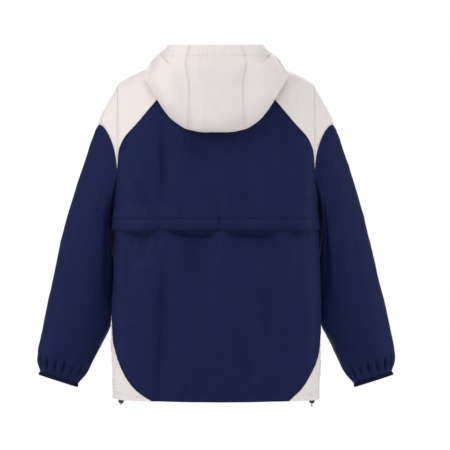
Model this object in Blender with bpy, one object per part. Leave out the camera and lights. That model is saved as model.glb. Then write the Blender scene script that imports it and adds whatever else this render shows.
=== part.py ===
"""Hooded windbreaker jacket, filled out as it is worn, with nobody in it.

Metres, +Z up, front to -Y, the wearer's left to +X. The origin is where the wearer's neck and
shoulders carry the jacket: neck height, on the middle line. One form gives the body's cloth,
one the sleeves' and one the hood's, and every piece is cut from them at its seams.
"""

import math

import bmesh
import bpy
import numpy as np

# --- driving sizes ---------------------------------------------------------------------------

CLOTH = 0.0013            # wall of every cloth piece
SEAM = 0.0003             # space between two pieces at a seam

UNDERARM_Z = -0.302       # bottom of the armholes
FLAP_Z = -0.3600          # lower edge of the vent flap
VENT_Z = -0.3330          # top edge of the lower back, under the flap
HEM_SIDE_Z = -0.7355      # hem at the sides and the front
HEM_EDGE_Z = -0.7432      # hem at the side piece's back edge
HEM_BACK_Z = -0.7457      # hem at the middle of the back
BODY_BACK = 0.108         # depth of the body behind the middle line
BODY_FRONT = 0.112        # and in front of it
BODY_CORNER = 3.5         # squareness of the body's level sections
SHOULDER_CORNER = 2.6     # squareness of the arches over the shoulders
SIDE_TAPER = 0.12         # how much narrower the front is than the back
ARM_X = 0.2216            # armhole from the middle line, on the back
ARM_X_FRONT = 0.1950      # and on the front
ZIP_HALF = 0.0150         # half of the zip's width between the fronts

NECK_WIDTH = 0.088        # half widths of the neck hole, seen from above
NECK_LENGTH = 0.083
NECK_Y = -0.015

# Level sections of the body: height, half width, and how far the depth grows there.
BODY_ROWS = {
    "z":     (-0.760, -0.740, -0.640, -0.495, -0.430, -0.360, -0.302),
    "width": (0.2345, 0.2347, 0.2356, 0.2357, 0.2350, 0.2329, 0.2295),
    "grow":  (0.0035, 0.0040, 0.0060, 0.0060, 0.0050, 0.0025, 0.0000),
}

# The shoulder's ridge, from the neck to the armhole.
SHOULDER_ROWS = {
    "x": (0.000, 0.060, 0.090, 0.120, 0.152, 0.1715, 0.191, 0.210, 0.2216, 0.240),
    "z": (0.052, 0.044, 0.034, 0.0205, 0.0045, -0.0060, -0.0150, -0.0255, -0.0345, -0.052),
}

# Seam of the shoulder yoke on the back, from the armhole up to the neck.
YOKE_SEAM = {
    "z": (-0.2221, -0.1863, -0.1719, -0.1521, -0.1215, -0.0689, -0.0260),
    "x": (0.2226, 0.2190, 0.2150, 0.2050, 0.1775, 0.1330, 0.0960),
}

# Back edge of the white side piece, each side as it has turned round the body.
SIDE_EDGE = {
    "z":     (-0.500, -0.5535, -0.6075, -0.6300, -0.6570, -0.6860, -0.7155, -0.7335, -0.7425),
    "left":  (0.2349, 0.2340, 0.2315, 0.2264, 0.2178, 0.2044, 0.1827, 0.1593, 0.1440),
    "right": (0.2356, 0.2354, 0.2338, 0.2320, 0.2250, 0.2110, 0.1919, 0.1730, 0.1635),
}
SIDE_TOP_Z = -0.500       # point of the side piece
SIDE_TIP = 0.0008         # the point is this blunt
FRONT_EDGE_HEM = 0.150    # its front edge from the middle line at the hem

TACK_X = (0.1240, -0.0107, -0.1440)   # the flap is tacked down at these places


def ramp(value, start, stop):
    """0 at start, 1 at stop, with a smooth run between."""
    t = np.clip((np.asarray(value, float) - start) / (stop - start), 0.0, 1.0)
    return t * t * (3.0 - 2.0 * t)


def curve(xs, ys):
    """A smooth function through the points (xs, ys) that never overshoots them."""
    xs = np.asarray(xs, float)
    ys = np.asarray(ys, float)
    if xs[0] > xs[-1]:
        xs, ys = xs[::-1], ys[::-1]
    step = np.diff(xs)
    slope = np.diff(ys) / step
    tangent = np.zeros_like(ys)
    tangent[0], tangent[-1] = slope[0], slope[-1]
    for i in range(1, len(xs) - 1):
        if slope[i - 1] * slope[i] > 0:
            w1 = 2 * step[i] + step[i - 1]
            w2 = step[i] + 2 * step[i - 1]
            tangent[i] = (w1 + w2) / (w1 / slope[i - 1] + w2 / slope[i])

    def value(x):
        x = np.clip(np.asarray(x, float), xs[0], xs[-1])
        i = np.clip(np.searchsorted(xs, x) - 1, 0, len(step) - 1)
        h = step[i]
        t = (x - xs[i]) / h
        a = (1 + 2 * t) * (1 - t) ** 2
        b = t * (1 - t) ** 2
        c = t * t * (3 - 2 * t)
        d = t * t * (t - 1)
        return a * ys[i] + b * h * tangent[i] + c * ys[i + 1] + d * h * tangent[i + 1]

    return value


def evenly(points, spans):
    """Points spaced evenly along a polyline."""
    points = np.asarray(points, float)
    run = np.concatenate([[0.0], np.cumsum(np.linalg.norm(np.diff(points, axis=0), axis=1))])
    at = np.linspace(0.0, run[-1], spans + 1)
    return np.stack([np.interp(at, run, points[:, k]) for k in range(points.shape[1])], axis=1)


# --- the body's form -------------------------------------------------------------------------

bodyWidth = curve(BODY_ROWS["z"], BODY_ROWS["width"])
bodyGrow = curve(BODY_ROWS["z"], BODY_ROWS["grow"])
shoulderHeight = curve(SHOULDER_ROWS["x"], SHOULDER_ROWS["z"])


def squared(angle, corner):
    """Sine and cosine of an angle, pushed out to a rounded box."""
    s, c = np.sin(angle), np.cos(angle)
    size = (np.abs(s) ** corner + np.abs(c) ** corner) ** (1.0 / corner)
    return s / size, c / size


def sideTaper(toBack):
    return 1.0 - SIDE_TAPER * ramp(-toBack, -0.35, 0.60)


def widthShare(angle):
    """Distance from the middle line over the body's half width, at an angle round the body."""
    across, toBack = squared(angle, BODY_CORNER)
    return sideTaper(toBack) * across


ROUND = np.linspace(0.0, math.pi, 4001)
WIDEST = int(np.argmax(widthShare(ROUND)))


def angleAt(x, z, front=False):
    """The angle round the body where its cloth is x from the middle line at height z."""
    share = np.abs(x) / bodyWidth(z)
    if front:
        half = ROUND[WIDEST:][::-1]
    else:
        half = ROUND[:WIDEST + 1]
    return np.sign(x) * np.interp(share, widthShare(half), half)


def archDepth(x, front=False):
    """Depth of the arch over the shoulder, x from the middle line."""
    angle = np.abs(angleAt(np.maximum(np.abs(x), 1e-6), UNDERARM_Z, front))
    toBack = squared(angle, BODY_CORNER)[1]
    return np.maximum(-BODY_FRONT * toBack, 0.004) if front else BODY_BACK * toBack


def bodyPoint(angle, z):
    """The body's cloth at an angle round it, 0 at the middle of the back, and a height."""
    angle, z = np.broadcast_arrays(np.asarray(angle, float), np.asarray(z, float))
    across, toBack = squared(angle, BODY_CORNER)
    x = bodyWidth(z) * sideTaper(toBack) * across
    depth = np.where(toBack > 0, BODY_BACK, BODY_FRONT) + bodyGrow(z)
    high = shoulderHeight(np.abs(x))
    up = np.clip((z - UNDERARM_Z) / (high - UNDERARM_Z), 0.0, 1.0)
    lean = (1.0 - up ** SHOULDER_CORNER) ** (1.0 / SHOULDER_CORNER)
    return np.stack([x, depth * toBack * lean, z], axis=-1)


def archPoint(x, angle):
    """The same cloth above the underarm, at x, 0 on the back, pi/2 on the shoulder's ridge."""
    x, angle = np.broadcast_arrays(np.asarray(x, float), np.asarray(angle, float))
    rise, toBack = squared(angle, SHOULDER_CORNER)
    depth = np.where(toBack > 0, archDepth(x), archDepth(x, True))
    z = UNDERARM_Z + (shoulderHeight(np.abs(x)) - UNDERARM_Z) * rise
    return np.stack([x, depth * toBack, z], axis=-1)


def archAngle(x, z, front=False):
    """The arch's angle where it is at height z."""
    up = np.clip((z - UNDERARM_Z) / (shoulderHeight(np.abs(x)) - UNDERARM_Z), 0.0, 1.0)
    along = np.linspace(0.0, math.pi / 2, 2001)
    angle = np.interp(up, squared(along, SHOULDER_CORNER)[0], along)
    return math.pi - angle if front else angle


def normals(form, u, v, flip):
    """Outward normals of form(u, v), by small steps."""
    step = 1e-4
    du = form(u + step, v) - form(u - step, v)
    dv = form(u, v + step) - form(u, v - step)
    n = np.cross(du, dv)
    n /= np.maximum(np.linalg.norm(n, axis=-1, keepdims=True), 1e-12)
    return -n if flip else n


# --- seams on the body -----------------------------------------------------------------------

JUNCTION_Z = -0.2221      # where the yoke, the cap, the sleeve and the back meet
UNDERARM_ANGLE = 1.62     # the side seam's angle round the body
NECK_BACK = math.radians(55)     # the yoke takes the neck from here
NECK_FRONT = math.radians(125)   # to here
LOWER_SPANS = 5           # spans of the armhole from the underarm to the junction
UPPER_SPANS = 14          # and over the shoulder
YOKE_SPANS = 6            # spans of the yoke's seam
BACK_SPANS = 24           # spans across the back
FRONT_SPANS = 6           # spans across a front at the neck
GUSSET_SPANS = 10         # spans across a side piece

# Rows of the lower back, the side pieces and the fronts below the side piece's point.
LOWER_ROWS = (SIDE_TOP_Z - SIDE_TIP, -0.527, -0.5535, -0.581, -0.6075, -0.634, -0.660, -0.686,
              -0.7115, -0.7320, HEM_EDGE_Z)

backArmAngle = float(angleAt(ARM_X, UNDERARM_Z))
frontArmAngle = float(angleAt(ARM_X_FRONT, UNDERARM_Z, True))


def lowerArmhole(front=False):
    """Angle and height of the armhole's samples, from the underarm up to the junction."""
    turn = np.linspace(0.0, math.pi / 2, 401)
    end = frontArmAngle if front else backArmAngle
    angle = UNDERARM_ANGLE + (end - UNDERARM_ANGLE) * np.sin(turn)
    z = JUNCTION_Z + (UNDERARM_Z - JUNCTION_Z) * np.cos(turn)
    dense = bodyPoint(angle, z)
    run = np.concatenate([[0], np.cumsum(np.linalg.norm(np.diff(dense, axis=0), axis=1))])
    at = np.linspace(0, run[-1], LOWER_SPANS + 1)
    return np.interp(at, run, angle), np.interp(at, run, z)


def upperArmhole():
    """x and arch angle of the armhole's samples over the shoulder, back to front."""
    first = float(archAngle(ARM_X, JUNCTION_Z))
    last = float(archAngle(ARM_X_FRONT, JUNCTION_Z, True))
    angle = np.linspace(first, last, 1201)
    x = ARM_X + (ARM_X_FRONT - ARM_X) * ramp(angle, math.radians(70), math.radians(125))
    dense = archPoint(x, angle)
    run = np.concatenate([[0], np.cumsum(np.linalg.norm(np.diff(dense, axis=0), axis=1))])
    at = np.linspace(0, run[-1], UPPER_SPANS + 1)
    return np.interp(at, run, x), np.interp(at, run, angle)


def neckSeam(turn):
    """x and arch angle of the neck hole's edge, at a turn round it from the back."""
    turn = np.asarray(turn, float)
    x = NECK_WIDTH * np.sin(turn)
    y = NECK_Y + NECK_LENGTH * np.cos(turn)
    depth = np.where(y > 0, archDepth(x), archDepth(x, True))
    share = np.clip(np.abs(y) / depth, 0, 1)
    along = np.linspace(0.0, math.pi / 2, 2001)
    angle = np.interp(share, squared(along, SHOULDER_CORNER)[1][::-1], along[::-1])
    return x, np.where(y > 0, angle, math.pi - angle)


def yokeSeam(front=False):
    """x and height of the yoke's seam, from the armhole's junction up to the neck."""
    neckX, neckAngle = neckSeam(NECK_FRONT if front else NECK_BACK)
    neckZ = float(archPoint(neckX, neckAngle)[2])
    z = np.array(YOKE_SEAM["z"] + (neckZ,))
    x = np.array(YOKE_SEAM["x"] + (float(neckX),))
    if front:
        z = np.interp(np.arange(len(z)), [0, len(z) - 1], [JUNCTION_Z, neckZ])
        x = ARM_X_FRONT + (float(neckX) - ARM_X_FRONT) * np.linspace(0, 1, len(z)) ** 1.35
    else:
        z[0], x[0] = JUNCTION_Z, ARM_X
    along = np.linspace(0, 1, 200)
    order = np.linspace(0, 1, len(z))
    dense = np.stack([curve(order, x)(along), curve(order, z)(along)], axis=1)
    return evenly(dense, YOKE_SPANS).T


def sideEdge(z, side):
    """Angle of the white side piece's back edge at a height, on one side."""
    z = np.asarray(z, float)
    x = curve(SIDE_EDGE["z"], SIDE_EDGE["left" if side > 0 else "right"])(z)
    edge = angleAt(x, z)
    share = np.clip((SIDE_TOP_Z - z) / 0.07, 0, 1) ** 0.7
    return UNDERARM_ANGLE + (edge - UNDERARM_ANGLE) * share


def frontEdge(z):
    """Angle of its front edge."""
    last = float(angleAt(FRONT_EDGE_HEM, HEM_SIDE_Z, True))
    down = np.clip((SIDE_TOP_Z - np.asarray(z, float)) / (SIDE_TOP_Z - HEM_SIDE_Z), 0, 1)
    return UNDERARM_ANGLE + (last - UNDERARM_ANGLE) * (1 - np.sqrt(1 - 0.99 * down ** 2)) ** 0.8


# --- folds -----------------------------------------------------------------------------------

# Soft troughs (depth under 0) and ridges down the body: place, ends, width, drift and depth.
LOWER_FOLDS = (
    {"x": 0.150, "top": -0.352, "end": -0.440, "width": 0.022, "drift": 0.010, "depth": -0.0075},
    {"x": 0.196, "top": -0.390, "end": -0.560, "width": 0.014, "drift": 0.002, "depth": -0.0035},
    {"x": 0.108, "top": -0.370, "end": -0.745, "width": 0.018, "drift": 0.016, "depth": -0.0060},
    {"x": 0.060, "top": -0.352, "end": -0.470, "width": 0.032, "drift": -0.006, "depth": -0.0050},
    {"x": 0.002, "top": -0.400, "end": -0.700, "width": 0.030, "drift": 0.004, "depth": -0.0025},
    {"x": -0.070, "top": -0.352, "end": -0.480, "width": 0.034, "drift": -0.010, "depth": -0.0055},
    {"x": -0.110, "top": -0.460, "end": -0.640, "width": 0.020, "drift": -0.002, "depth": -0.0045},
    {"x": -0.072, "top": -0.610, "end": -0.730, "width": 0.024, "drift": 0.012, "depth": -0.0045},
    {"x": -0.185, "top": -0.360, "end": -0.560, "width": 0.018, "drift": 0.004, "depth": -0.0045},
)
UPPER_FOLDS = (
    {"x": 0.112, "top": -0.080, "end": -0.330, "width": 0.016, "drift": 0.004, "depth": -0.0050},
    {"x": 0.180, "top": -0.250, "end": -0.345, "width": 0.014, "drift": -0.042, "depth": -0.0040},
    {"x": -0.060, "top": -0.130, "end": -0.320, "width": 0.030, "drift": -0.010, "depth": -0.0030},
    {"x": -0.150, "top": -0.120, "end": -0.300, "width": 0.020, "drift": -0.012, "depth": -0.0045},
)
FRONT_FOLDS = (
    {"x": 0.150, "top": -0.230, "end": -0.520, "width": 0.020, "drift": -0.020, "depth": -0.0055},
    {"x": 0.090, "top": -0.330, "end": -0.700, "width": 0.024, "drift": 0.010, "depth": -0.0050},
    {"x": 0.052, "top": -0.150, "end": -0.420, "width": 0.022, "drift": 0.008, "depth": -0.0040},
)


def foldDepth(x, z, folds):
    """How far the folds move the cloth at x and height z."""
    depth = np.zeros(np.broadcast(x, z).shape)
    for fold in folds:
        down = np.clip((fold["top"] - z) / (fold["top"] - fold["end"]), 0, 1)
        across = (x - fold["x"] - fold["drift"] * down) / fold["width"]
        depth += fold["depth"] * np.sin(math.pi * down) ** 0.8 * np.exp(-across ** 2)
    return depth


def flapLift(x):
    """Share of the flap's lift, 0 where it is tacked down and 1 between."""
    near = np.min([np.abs(x - tack) for tack in TACK_X], axis=0)
    return ramp(near, 0.004, 0.040) * (1 - ramp(np.abs(x), 0.180, 0.222))


# --- walls -----------------------------------------------------------------------------------

def pulledIn(grid, first=True, last=True, left=True, right=True):
    """The grid with its chosen edges drawn in by half a seam's space."""
    out = grid.copy()

    def draw(edge, beside):
        way = beside - edge
        size = np.maximum(np.linalg.norm(way, axis=-1, keepdims=True), 1e-9)
        return edge + way / size * np.minimum(SEAM / 2, size * 0.4)

    if first:
        out[0] = draw(out[0], out[1])
    if last:
        out[-1] = draw(out[-1], out[-2])
    if left:
        out[:, 0] = draw(out[:, 0].copy(), out[:, 1])
    if right:
        out[:, -1] = draw(out[:, -1].copy(), out[:, -2])
    return out


def material(name, colour, roughness, metallic=0.0):
    made = bpy.data.materials.new(name)
    made.use_nodes = True
    shader = made.node_tree.nodes["Principled BSDF"]
    shader.inputs["Base Color"].default_value = (*colour, 1.0)
    shader.inputs["Roughness"].default_value = roughness
    shader.inputs["Metallic"].default_value = metallic
    return made


NAVY = (0.0120, 0.0180, 0.0600)
WHITE = (0.78, 0.72, 0.70)
BLACK = (0.012, 0.012, 0.012)
GREY = (0.16, 0.16, 0.17)


def addObject(name, verts, faces, colour, roughness=0.75, metallic=0.0):
    mesh = bpy.data.meshes.new(name)
    mesh.from_pydata([tuple(float(c) for c in v) for v in verts], [], faces)
    shape = bmesh.new()
    shape.from_mesh(mesh)
    bmesh.ops.recalc_face_normals(shape, faces=shape.faces)
    shape.to_mesh(mesh)
    shape.free()
    mesh.materials.append(material(name + "_finish", colour, roughness, metallic))
    thing = bpy.data.objects.new(name, mesh)
    bpy.context.scene.collection.objects.link(thing)
    return thing


def wallPiece(name, outer, out, colour, thick=CLOTH, round=False):
    """A closed wall from a grid of outer points and their outward normals."""
    rows, cols = outer.shape[:2]
    inner = outer - out * thick
    verts = np.concatenate([outer.reshape(-1, 3), inner.reshape(-1, 3)])
    back = rows * cols
    spans = cols if round else cols - 1
    faces = []
    for r in range(rows - 1):
        for c in range(spans):
            d = (c + 1) % cols
            a, b, e, f = r * cols + c, r * cols + d, (r + 1) * cols + d, (r + 1) * cols + c
            faces.append((a, b, e, f))
            faces.append((back + f, back + e, back + b, back + a))
    for c in range(spans):
        d = (c + 1) % cols
        faces.append((d, c, back + c, back + d))
        low = (rows - 1) * cols
        faces.append((low + c, low + d, back + low + d, back + low + c))
    if not round:
        for r in range(rows - 1):
            a, b = r * cols, (r + 1) * cols
            faces.append((a, b, back + b, back + a))
            a, b = a + cols - 1, b + cols - 1
            faces.append((b, a, back + a, back + b))
    return addObject(name, verts, faces, colour)


def bodyNormals(angle, z):
    return normals(bodyPoint, angle, z, True)


def archNormals(x, angle):
    n = normals(archPoint, x, angle, False)
    mid = archPoint(x, angle)
    away = n[..., 1] * np.sign(mid[..., 1]) + n[..., 2]
    return n * np.sign(away)[..., None]


# --- the body's pieces -----------------------------------------------------------------------

backLowerArm = lowerArmhole()
frontLowerArm = lowerArmhole(True)
upperArm = upperArmhole()
backYoke = yokeSeam()
frontYoke = yokeSeam(True)
neckBackTurns = np.linspace(-NECK_BACK, NECK_BACK, BACK_SPANS // 2 + 1)
neckYokeTurns = np.linspace(NECK_BACK, NECK_FRONT, UPPER_SPANS + 1)
zipTurn = math.pi - math.asin(ZIP_HALF / NECK_WIDTH)
neckFrontTurns = np.linspace(NECK_FRONT, zipTurn, FRONT_SPANS + 1)


def placed(angle, z, folds, side=1.0):
    """Body points and normals, with the folds pressed in."""
    point, out = bodyPoint(angle, z), bodyNormals(angle, z)
    depth = foldDepth(side * point[..., 0], point[..., 2], folds)
    edge = np.ones(point.shape[1])
    edge[0] = edge[-1] = 0.0
    return point, out, depth * edge


def backUpper():
    flapRows = np.array([FLAP_Z, -0.350, -0.340, -0.330, -0.318, UNDERARM_Z])
    seamAngle = angleAt(backYoke[0], backYoke[1])
    ends = np.concatenate([np.full(len(flapRows), UNDERARM_ANGLE), backLowerArm[0][1:],
                           seamAngle[1:]])
    z = np.concatenate([flapRows, backLowerArm[1][1:], backYoke[1][1:]])
    across = np.linspace(-1, 1, BACK_SPANS + 1)
    angle = ends[:, None] * across
    height = np.repeat(z[:, None], BACK_SPANS + 1, axis=1)
    x, arch = neckSeam(neckBackTurns)
    neck = archPoint(x, arch)
    neck = np.stack([np.interp(np.linspace(0, 1, BACK_SPANS + 1),
                               np.linspace(0, 1, len(neck)), neck[:, k]) for k in range(3)], 1)
    seamRows = YOKE_SPANS
    blend = np.linspace(0, 1, seamRows + 1)[:, None]
    height[-seamRows - 1:] += blend ** 1.6 * (neck[:, 2] - neck[0, 2])
    share = (1 - blend) * across + blend * angleAt(neck[:, 0], neck[:, 2]) / ends[-1]
    angle[-seamRows - 1:] = share * ends[-seamRows - 1:, None]
    point, out, depth = placed(angle, height, UPPER_FOLDS)
    lift = flapLift(point[..., 0])
    over = ramp(-height, 0.316, 0.330) * (CLOTH + SEAM)
    over = over + ramp(-height, 0.335, 0.360) * 0.0022 * lift
    depth *= 1 - ramp(-height, 0.300, 0.318)
    outer = point + out * (depth + over)[..., None]
    outer = pulledIn(outer, first=False)
    return wallPiece("back_upper", outer, out, NAVY)


def backLower():
    z = np.array((VENT_Z, -0.345, -0.358, -0.374, -0.394, -0.420, -0.450, -0.478, SIDE_TOP_Z)
                 + LOWER_ROWS)
    left = np.where(z < SIDE_TOP_Z, sideEdge(z, 1), UNDERARM_ANGLE)
    right = np.where(z < SIDE_TOP_Z, sideEdge(z, -1), UNDERARM_ANGLE)
    across = np.linspace(0, 1, BACK_SPANS + 1)
    angle = -right[:, None] + (left + right)[:, None] * across
    low = (np.clip((SIDE_TOP_Z - z) / (SIDE_TOP_Z - HEM_EDGE_Z), 0, 1) ** 6)[:, None]
    height = z[:, None] + low * (HEM_BACK_Z - HEM_EDGE_Z) * np.sin(math.pi * across)
    point, out, depth = placed(angle, height, LOWER_FOLDS)
    under = np.exp(-((height + 0.366) / 0.030) ** 2) * flapLift(point[..., 0])
    depth -= 0.0050 * under * np.sin(math.pi * across) ** 0.3
    outer = pulledIn(point + out * depth[..., None], last=False)
    return wallPiece("back_lower", outer, out, NAVY)


def sideGusset(name, side):
    z = np.array(LOWER_ROWS)
    height = gussetHeights(z)
    back, front = sideEdge(z, side), frontEdge(height[:, -1])
    across = np.linspace(0, 1, GUSSET_SPANS + 1)
    angle = back[:, None] + (front - back)[:, None] * across
    outer, out = bodyPoint(side * angle, height), bodyNormals(side * angle, height)
    ripple = 0.0022 * np.sin(across * 11.0) * np.sin(math.pi * across)
    fade = ramp(-height, 0.560, 0.690)
    outer = outer + out * (ripple * fade)[..., None]
    return wallPiece(name, pulledIn(outer, first=False, last=False), out, WHITE)


def gussetHeights(z):
    """The side piece's rows: level high up, and rising from its back corner at the hem."""
    across = np.linspace(0, 1, GUSSET_SPANS + 1)
    low = np.clip((SIDE_TOP_Z - z) / (SIDE_TOP_Z - HEM_EDGE_Z), 0, 1) ** 6
    return z[:, None] + low[:, None] * (HEM_SIDE_Z - HEM_EDGE_Z) * ramp(across, 0.0, 0.5)


def frontPiece(name, side):
    low = gussetHeights(np.array(LOWER_ROWS))[:, -1][::-1]
    side_z = np.array([SIDE_TOP_Z, -0.478, -0.450, -0.420, -0.394, -0.360, -0.330, UNDERARM_Z])
    armAngle, armZ = frontLowerArm
    yokeAngle = angleAt(frontYoke[0], frontYoke[1], True)
    ends = np.concatenate([frontEdge(low), np.full(len(side_z), UNDERARM_ANGLE),
                           armAngle[1:], yokeAngle[1:]])
    z = np.concatenate([low, side_z, armZ[1:], frontYoke[1][1:]])
    zipAngle = angleAt(ZIP_HALF, z, True)
    across = np.linspace(0, 1, FRONT_SPANS + 1)
    angle = ends[:, None] + (zipAngle - ends)[:, None] * across
    height = np.repeat(z[:, None], FRONT_SPANS + 1, axis=1)
    x, arch = neckSeam(neckFrontTurns)
    neck = archPoint(x, arch)
    rows = YOKE_SPANS
    blend = np.linspace(0, 1, rows + 1)[:, None]
    height[-rows - 1:] += blend ** 1.3 * (neck[:, 2] - neck[0, 2])
    neckAngle = angleAt(neck[:, 0], neck[:, 2], True)
    share = (neckAngle - neckAngle[0]) / (neckAngle[-1] - neckAngle[0])
    mixed = (1 - blend) * across + blend * share
    angle[-rows - 1:] = ends[-rows - 1:, None] + (zipAngle - ends)[-rows - 1:, None] * mixed
    angle, height = angle[:, ::-1] * side, height[:, ::-1]
    point, out, depth = placed(angle, height, FRONT_FOLDS, side)
    outer = pulledIn(point + out * depth[..., None], first=False)
    return wallPiece(name, outer, out, NAVY)


def yokeCoords():
    """x and arch angle over the yoke: rows from the neck to the armhole, columns back to front."""
    backX, backArch = backYoke[0][::-1], archAngle(backYoke[0], backYoke[1])[::-1]
    frontX, frontArch = frontYoke[0][::-1], archAngle(frontYoke[0], frontYoke[1], True)[::-1]
    neckX, neckArch = neckSeam(neckYokeTurns)
    armX, armArch = upperArm
    v = np.linspace(0, 1, YOKE_SPANS + 1)[:, None]
    u = np.linspace(0, 1, UPPER_SPANS + 1)[None, :]

    def patch(neck, arm, back, front):
        edges = (1 - v) * neck + v * arm + (1 - u) * back[:, None] + u * front[:, None]
        corners = ((1 - v) * ((1 - u) * neck[0] + u * neck[-1])
                   + v * ((1 - u) * arm[0] + u * arm[-1]))
        return edges - corners

    return patch(neckX, armX, backX, frontX), patch(neckArch, armArch, backArch, frontArch)


def yoke(name, side):
    x, arch = yokeCoords()
    x = x * side
    outer, out = archPoint(x, arch), archNormals(x, arch)
    return wallPiece(name, pulledIn(outer), out, WHITE)


# --- the sleeves -----------------------------------------------------------------------------

# Rings of a sleeve: share of its length, its outer and inner points, its middle and half depth.
SLEEVE_ROWS = {
    "share":  (0.00, 0.12, 0.30, 0.50, 0.70, 0.85, 0.94, 1.00),
    "outerX": (0.2216, 0.2577, 0.3010, 0.3412, 0.3715, 0.3925, 0.4018, 0.3965),
    "outerZ": (-0.0345, -0.1035, -0.2265, -0.3570, -0.4900, -0.5910, -0.6435, -0.6795),
    "innerX": (0.2150, 0.2235, 0.2275, 0.2290, 0.2345, 0.2600, 0.2860, 0.3110),
    "innerZ": (-0.3020, -0.3450, -0.4050, -0.4780, -0.5650, -0.6220, -0.6710, -0.7070),
    "middleY": (0.0000, -0.0080, -0.0220, -0.0340, -0.0420, -0.0460, -0.0470, -0.0480),
    "depth":  (0.0600, 0.0650, 0.0690, 0.0680, 0.0640, 0.0600, 0.0500, 0.0290),
}
SLEEVE_CORNER = 2.3       # squareness of its rings
CAP_LENGTH = 0.178        # share of the sleeve that the white cap covers, at the outer fold
CAP_TIP = 0.0015          # and at its two points
SLEEVE_LENGTH = 0.680     # along the outer fold
FINE = 3                  # the gathers have this many times the samples round
GATHERS = 18              # gathers round the cuff
CUFF_DEEP = 0.0072        # the elastic band's width
CUFF_THICK = 0.0020
CUFF_SPANS = 36

armLoop = np.concatenate([
    bodyPoint(*backLowerArm),
    archPoint(*upperArm)[1:],
    bodyPoint(*frontLowerArm)[::-1][1:],
])
SAMPLES = len(armLoop) - 1
TOP_SAMPLE = LOWER_SPANS + UPPER_SPANS // 2
sleeveRow = {key: curve(SLEEVE_ROWS["share"], SLEEVE_ROWS[key]) for key in SLEEVE_ROWS}


def ringFrame(share):
    """Middle, long half axis and axis across a sleeve's ring."""
    outer = np.stack([sleeveRow["outerX"](share), sleeveRow["middleY"](share),
                      sleeveRow["outerZ"](share)], -1)
    inner = np.stack([sleeveRow["innerX"](share), sleeveRow["middleY"](share),
                      sleeveRow["innerZ"](share)], -1)
    middle, half = (outer + inner) / 2, (outer - inner) / 2
    long = half / np.linalg.norm(half, axis=-1, keepdims=True)
    across = np.cross(long, np.array([0.0, 1.0, 0.0]))
    return middle, half, across


def loopShares():
    """The armhole's samples in the first ring's own frame, and their places round the ring."""
    middle, half, across = ringFrame(np.array(0.0))
    size = np.linalg.norm(half)
    away = armLoop - middle
    up = away @ (half / size) / size
    run = np.concatenate([[0], np.cumsum(np.linalg.norm(np.diff(armLoop, axis=0), axis=1))])
    back = math.pi * (1 - run[:TOP_SAMPLE + 1] / run[TOP_SAMPLE])
    rest = (run[TOP_SAMPLE:] - run[TOP_SAMPLE]) / (run[-1] - run[TOP_SAMPLE])
    turn = np.concatenate([back, -math.pi * rest[1:]])
    return up, away[:, 1], away @ across, turn


loopUp, loopY, loopAcross, loopTurn = loopShares()


def sleevePoint(sample, share):
    """The left sleeve's cloth at a place round it and a share of its length."""
    sample, share = np.broadcast_arrays(np.asarray(sample, float), np.asarray(share, float))
    place = np.mod(sample, SAMPLES)
    order = np.arange(SAMPLES + 1)
    middle, half, across = ringFrame(np.clip(share, 0, 1))
    turn = np.interp(place, order, loopTurn)
    side, up = squared(turn, SLEEVE_CORNER)
    own = ramp(share, 0.0, 0.42)
    flat = ramp(share, 0.05, 0.50)
    upNow = (1 - own) * np.interp(place, order, loopUp) + own * up
    yNow = (1 - own) * np.interp(place, order, loopY) + own * side * sleeveRow["depth"](share)
    acrossNow = (1 - flat) * np.interp(place, order, loopAcross)
    point = middle + half * upNow[..., None] + across * acrossNow[..., None]
    point[..., 1] += yNow
    point[..., 0] += SEAM
    return point


def gatherDepth(sample, share):
    """Height of the gathers above the cuff."""
    turn = 2 * math.pi * np.asarray(sample) / SAMPLES
    uneven = 0.72 + 0.28 * np.sin(3 * turn + 0.7) * np.cos(5 * turn)
    reach = ramp(share, 0.915, 0.962) * (1 - 0.80 * ramp(share, 0.965, 1.0))
    return 0.0036 * uneven * np.cos(GATHERS * turn + 0.35) * reach


def sleeveFold(sample, share):
    """Two soft troughs down the back of the sleeve and one across its bend."""
    turn = np.interp(np.mod(sample, SAMPLES), np.arange(SAMPLES + 1), loopTurn)
    rows = (
        {"turn": 2.30, "top": 0.10, "end": 0.62, "width": 0.22, "depth": -0.0065},
        {"turn": 1.15, "top": 0.28, "end": 0.80, "width": 0.26, "depth": -0.0035},
        {"turn": -1.60, "top": 0.22, "end": 0.85, "width": 0.30, "depth": -0.0050},
    )
    depth = 0.0
    for row in rows:
        down = np.clip((share - row["top"]) / (row["end"] - row["top"]), 0, 1)
        across = (turn - row["turn"] - 0.25 * (down - 0.5)) / row["width"]
        depth = depth + row["depth"] * np.sin(math.pi * down) * np.exp(-across ** 2)
    return depth


def sleeveWall(sample, share):
    """Outer points and outward normals of the left sleeve."""
    point = sleevePoint(sample, share)
    out = normals(sleevePoint, sample, share, False)
    out *= np.sign(np.sum(out * (point - ringFrame(share)[0]), axis=-1))[..., None]
    toArm = np.where(out[..., 0] > 0, ramp(share, 0.002, 0.030), 1.0)
    out[..., 0] *= toArm                          # the wall's edge stands flat to the armhole
    out /= np.linalg.norm(out, axis=-1, keepdims=True)
    return point + out * (sleeveFold(sample, share) + gatherDepth(sample, share))[..., None], out


def mirrored(points, side):
    return points * np.array([side, 1.0, 1.0])


def capShare(sample):
    """Where the cap ends and the sleeve starts, at a sample round the armhole."""
    near = np.clip(1 - np.abs(sample - TOP_SAMPLE) / (UPPER_SPANS / 2), 0, 1)
    return CAP_TIP + (CAP_LENGTH - CAP_TIP) * near ** 1.3


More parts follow.
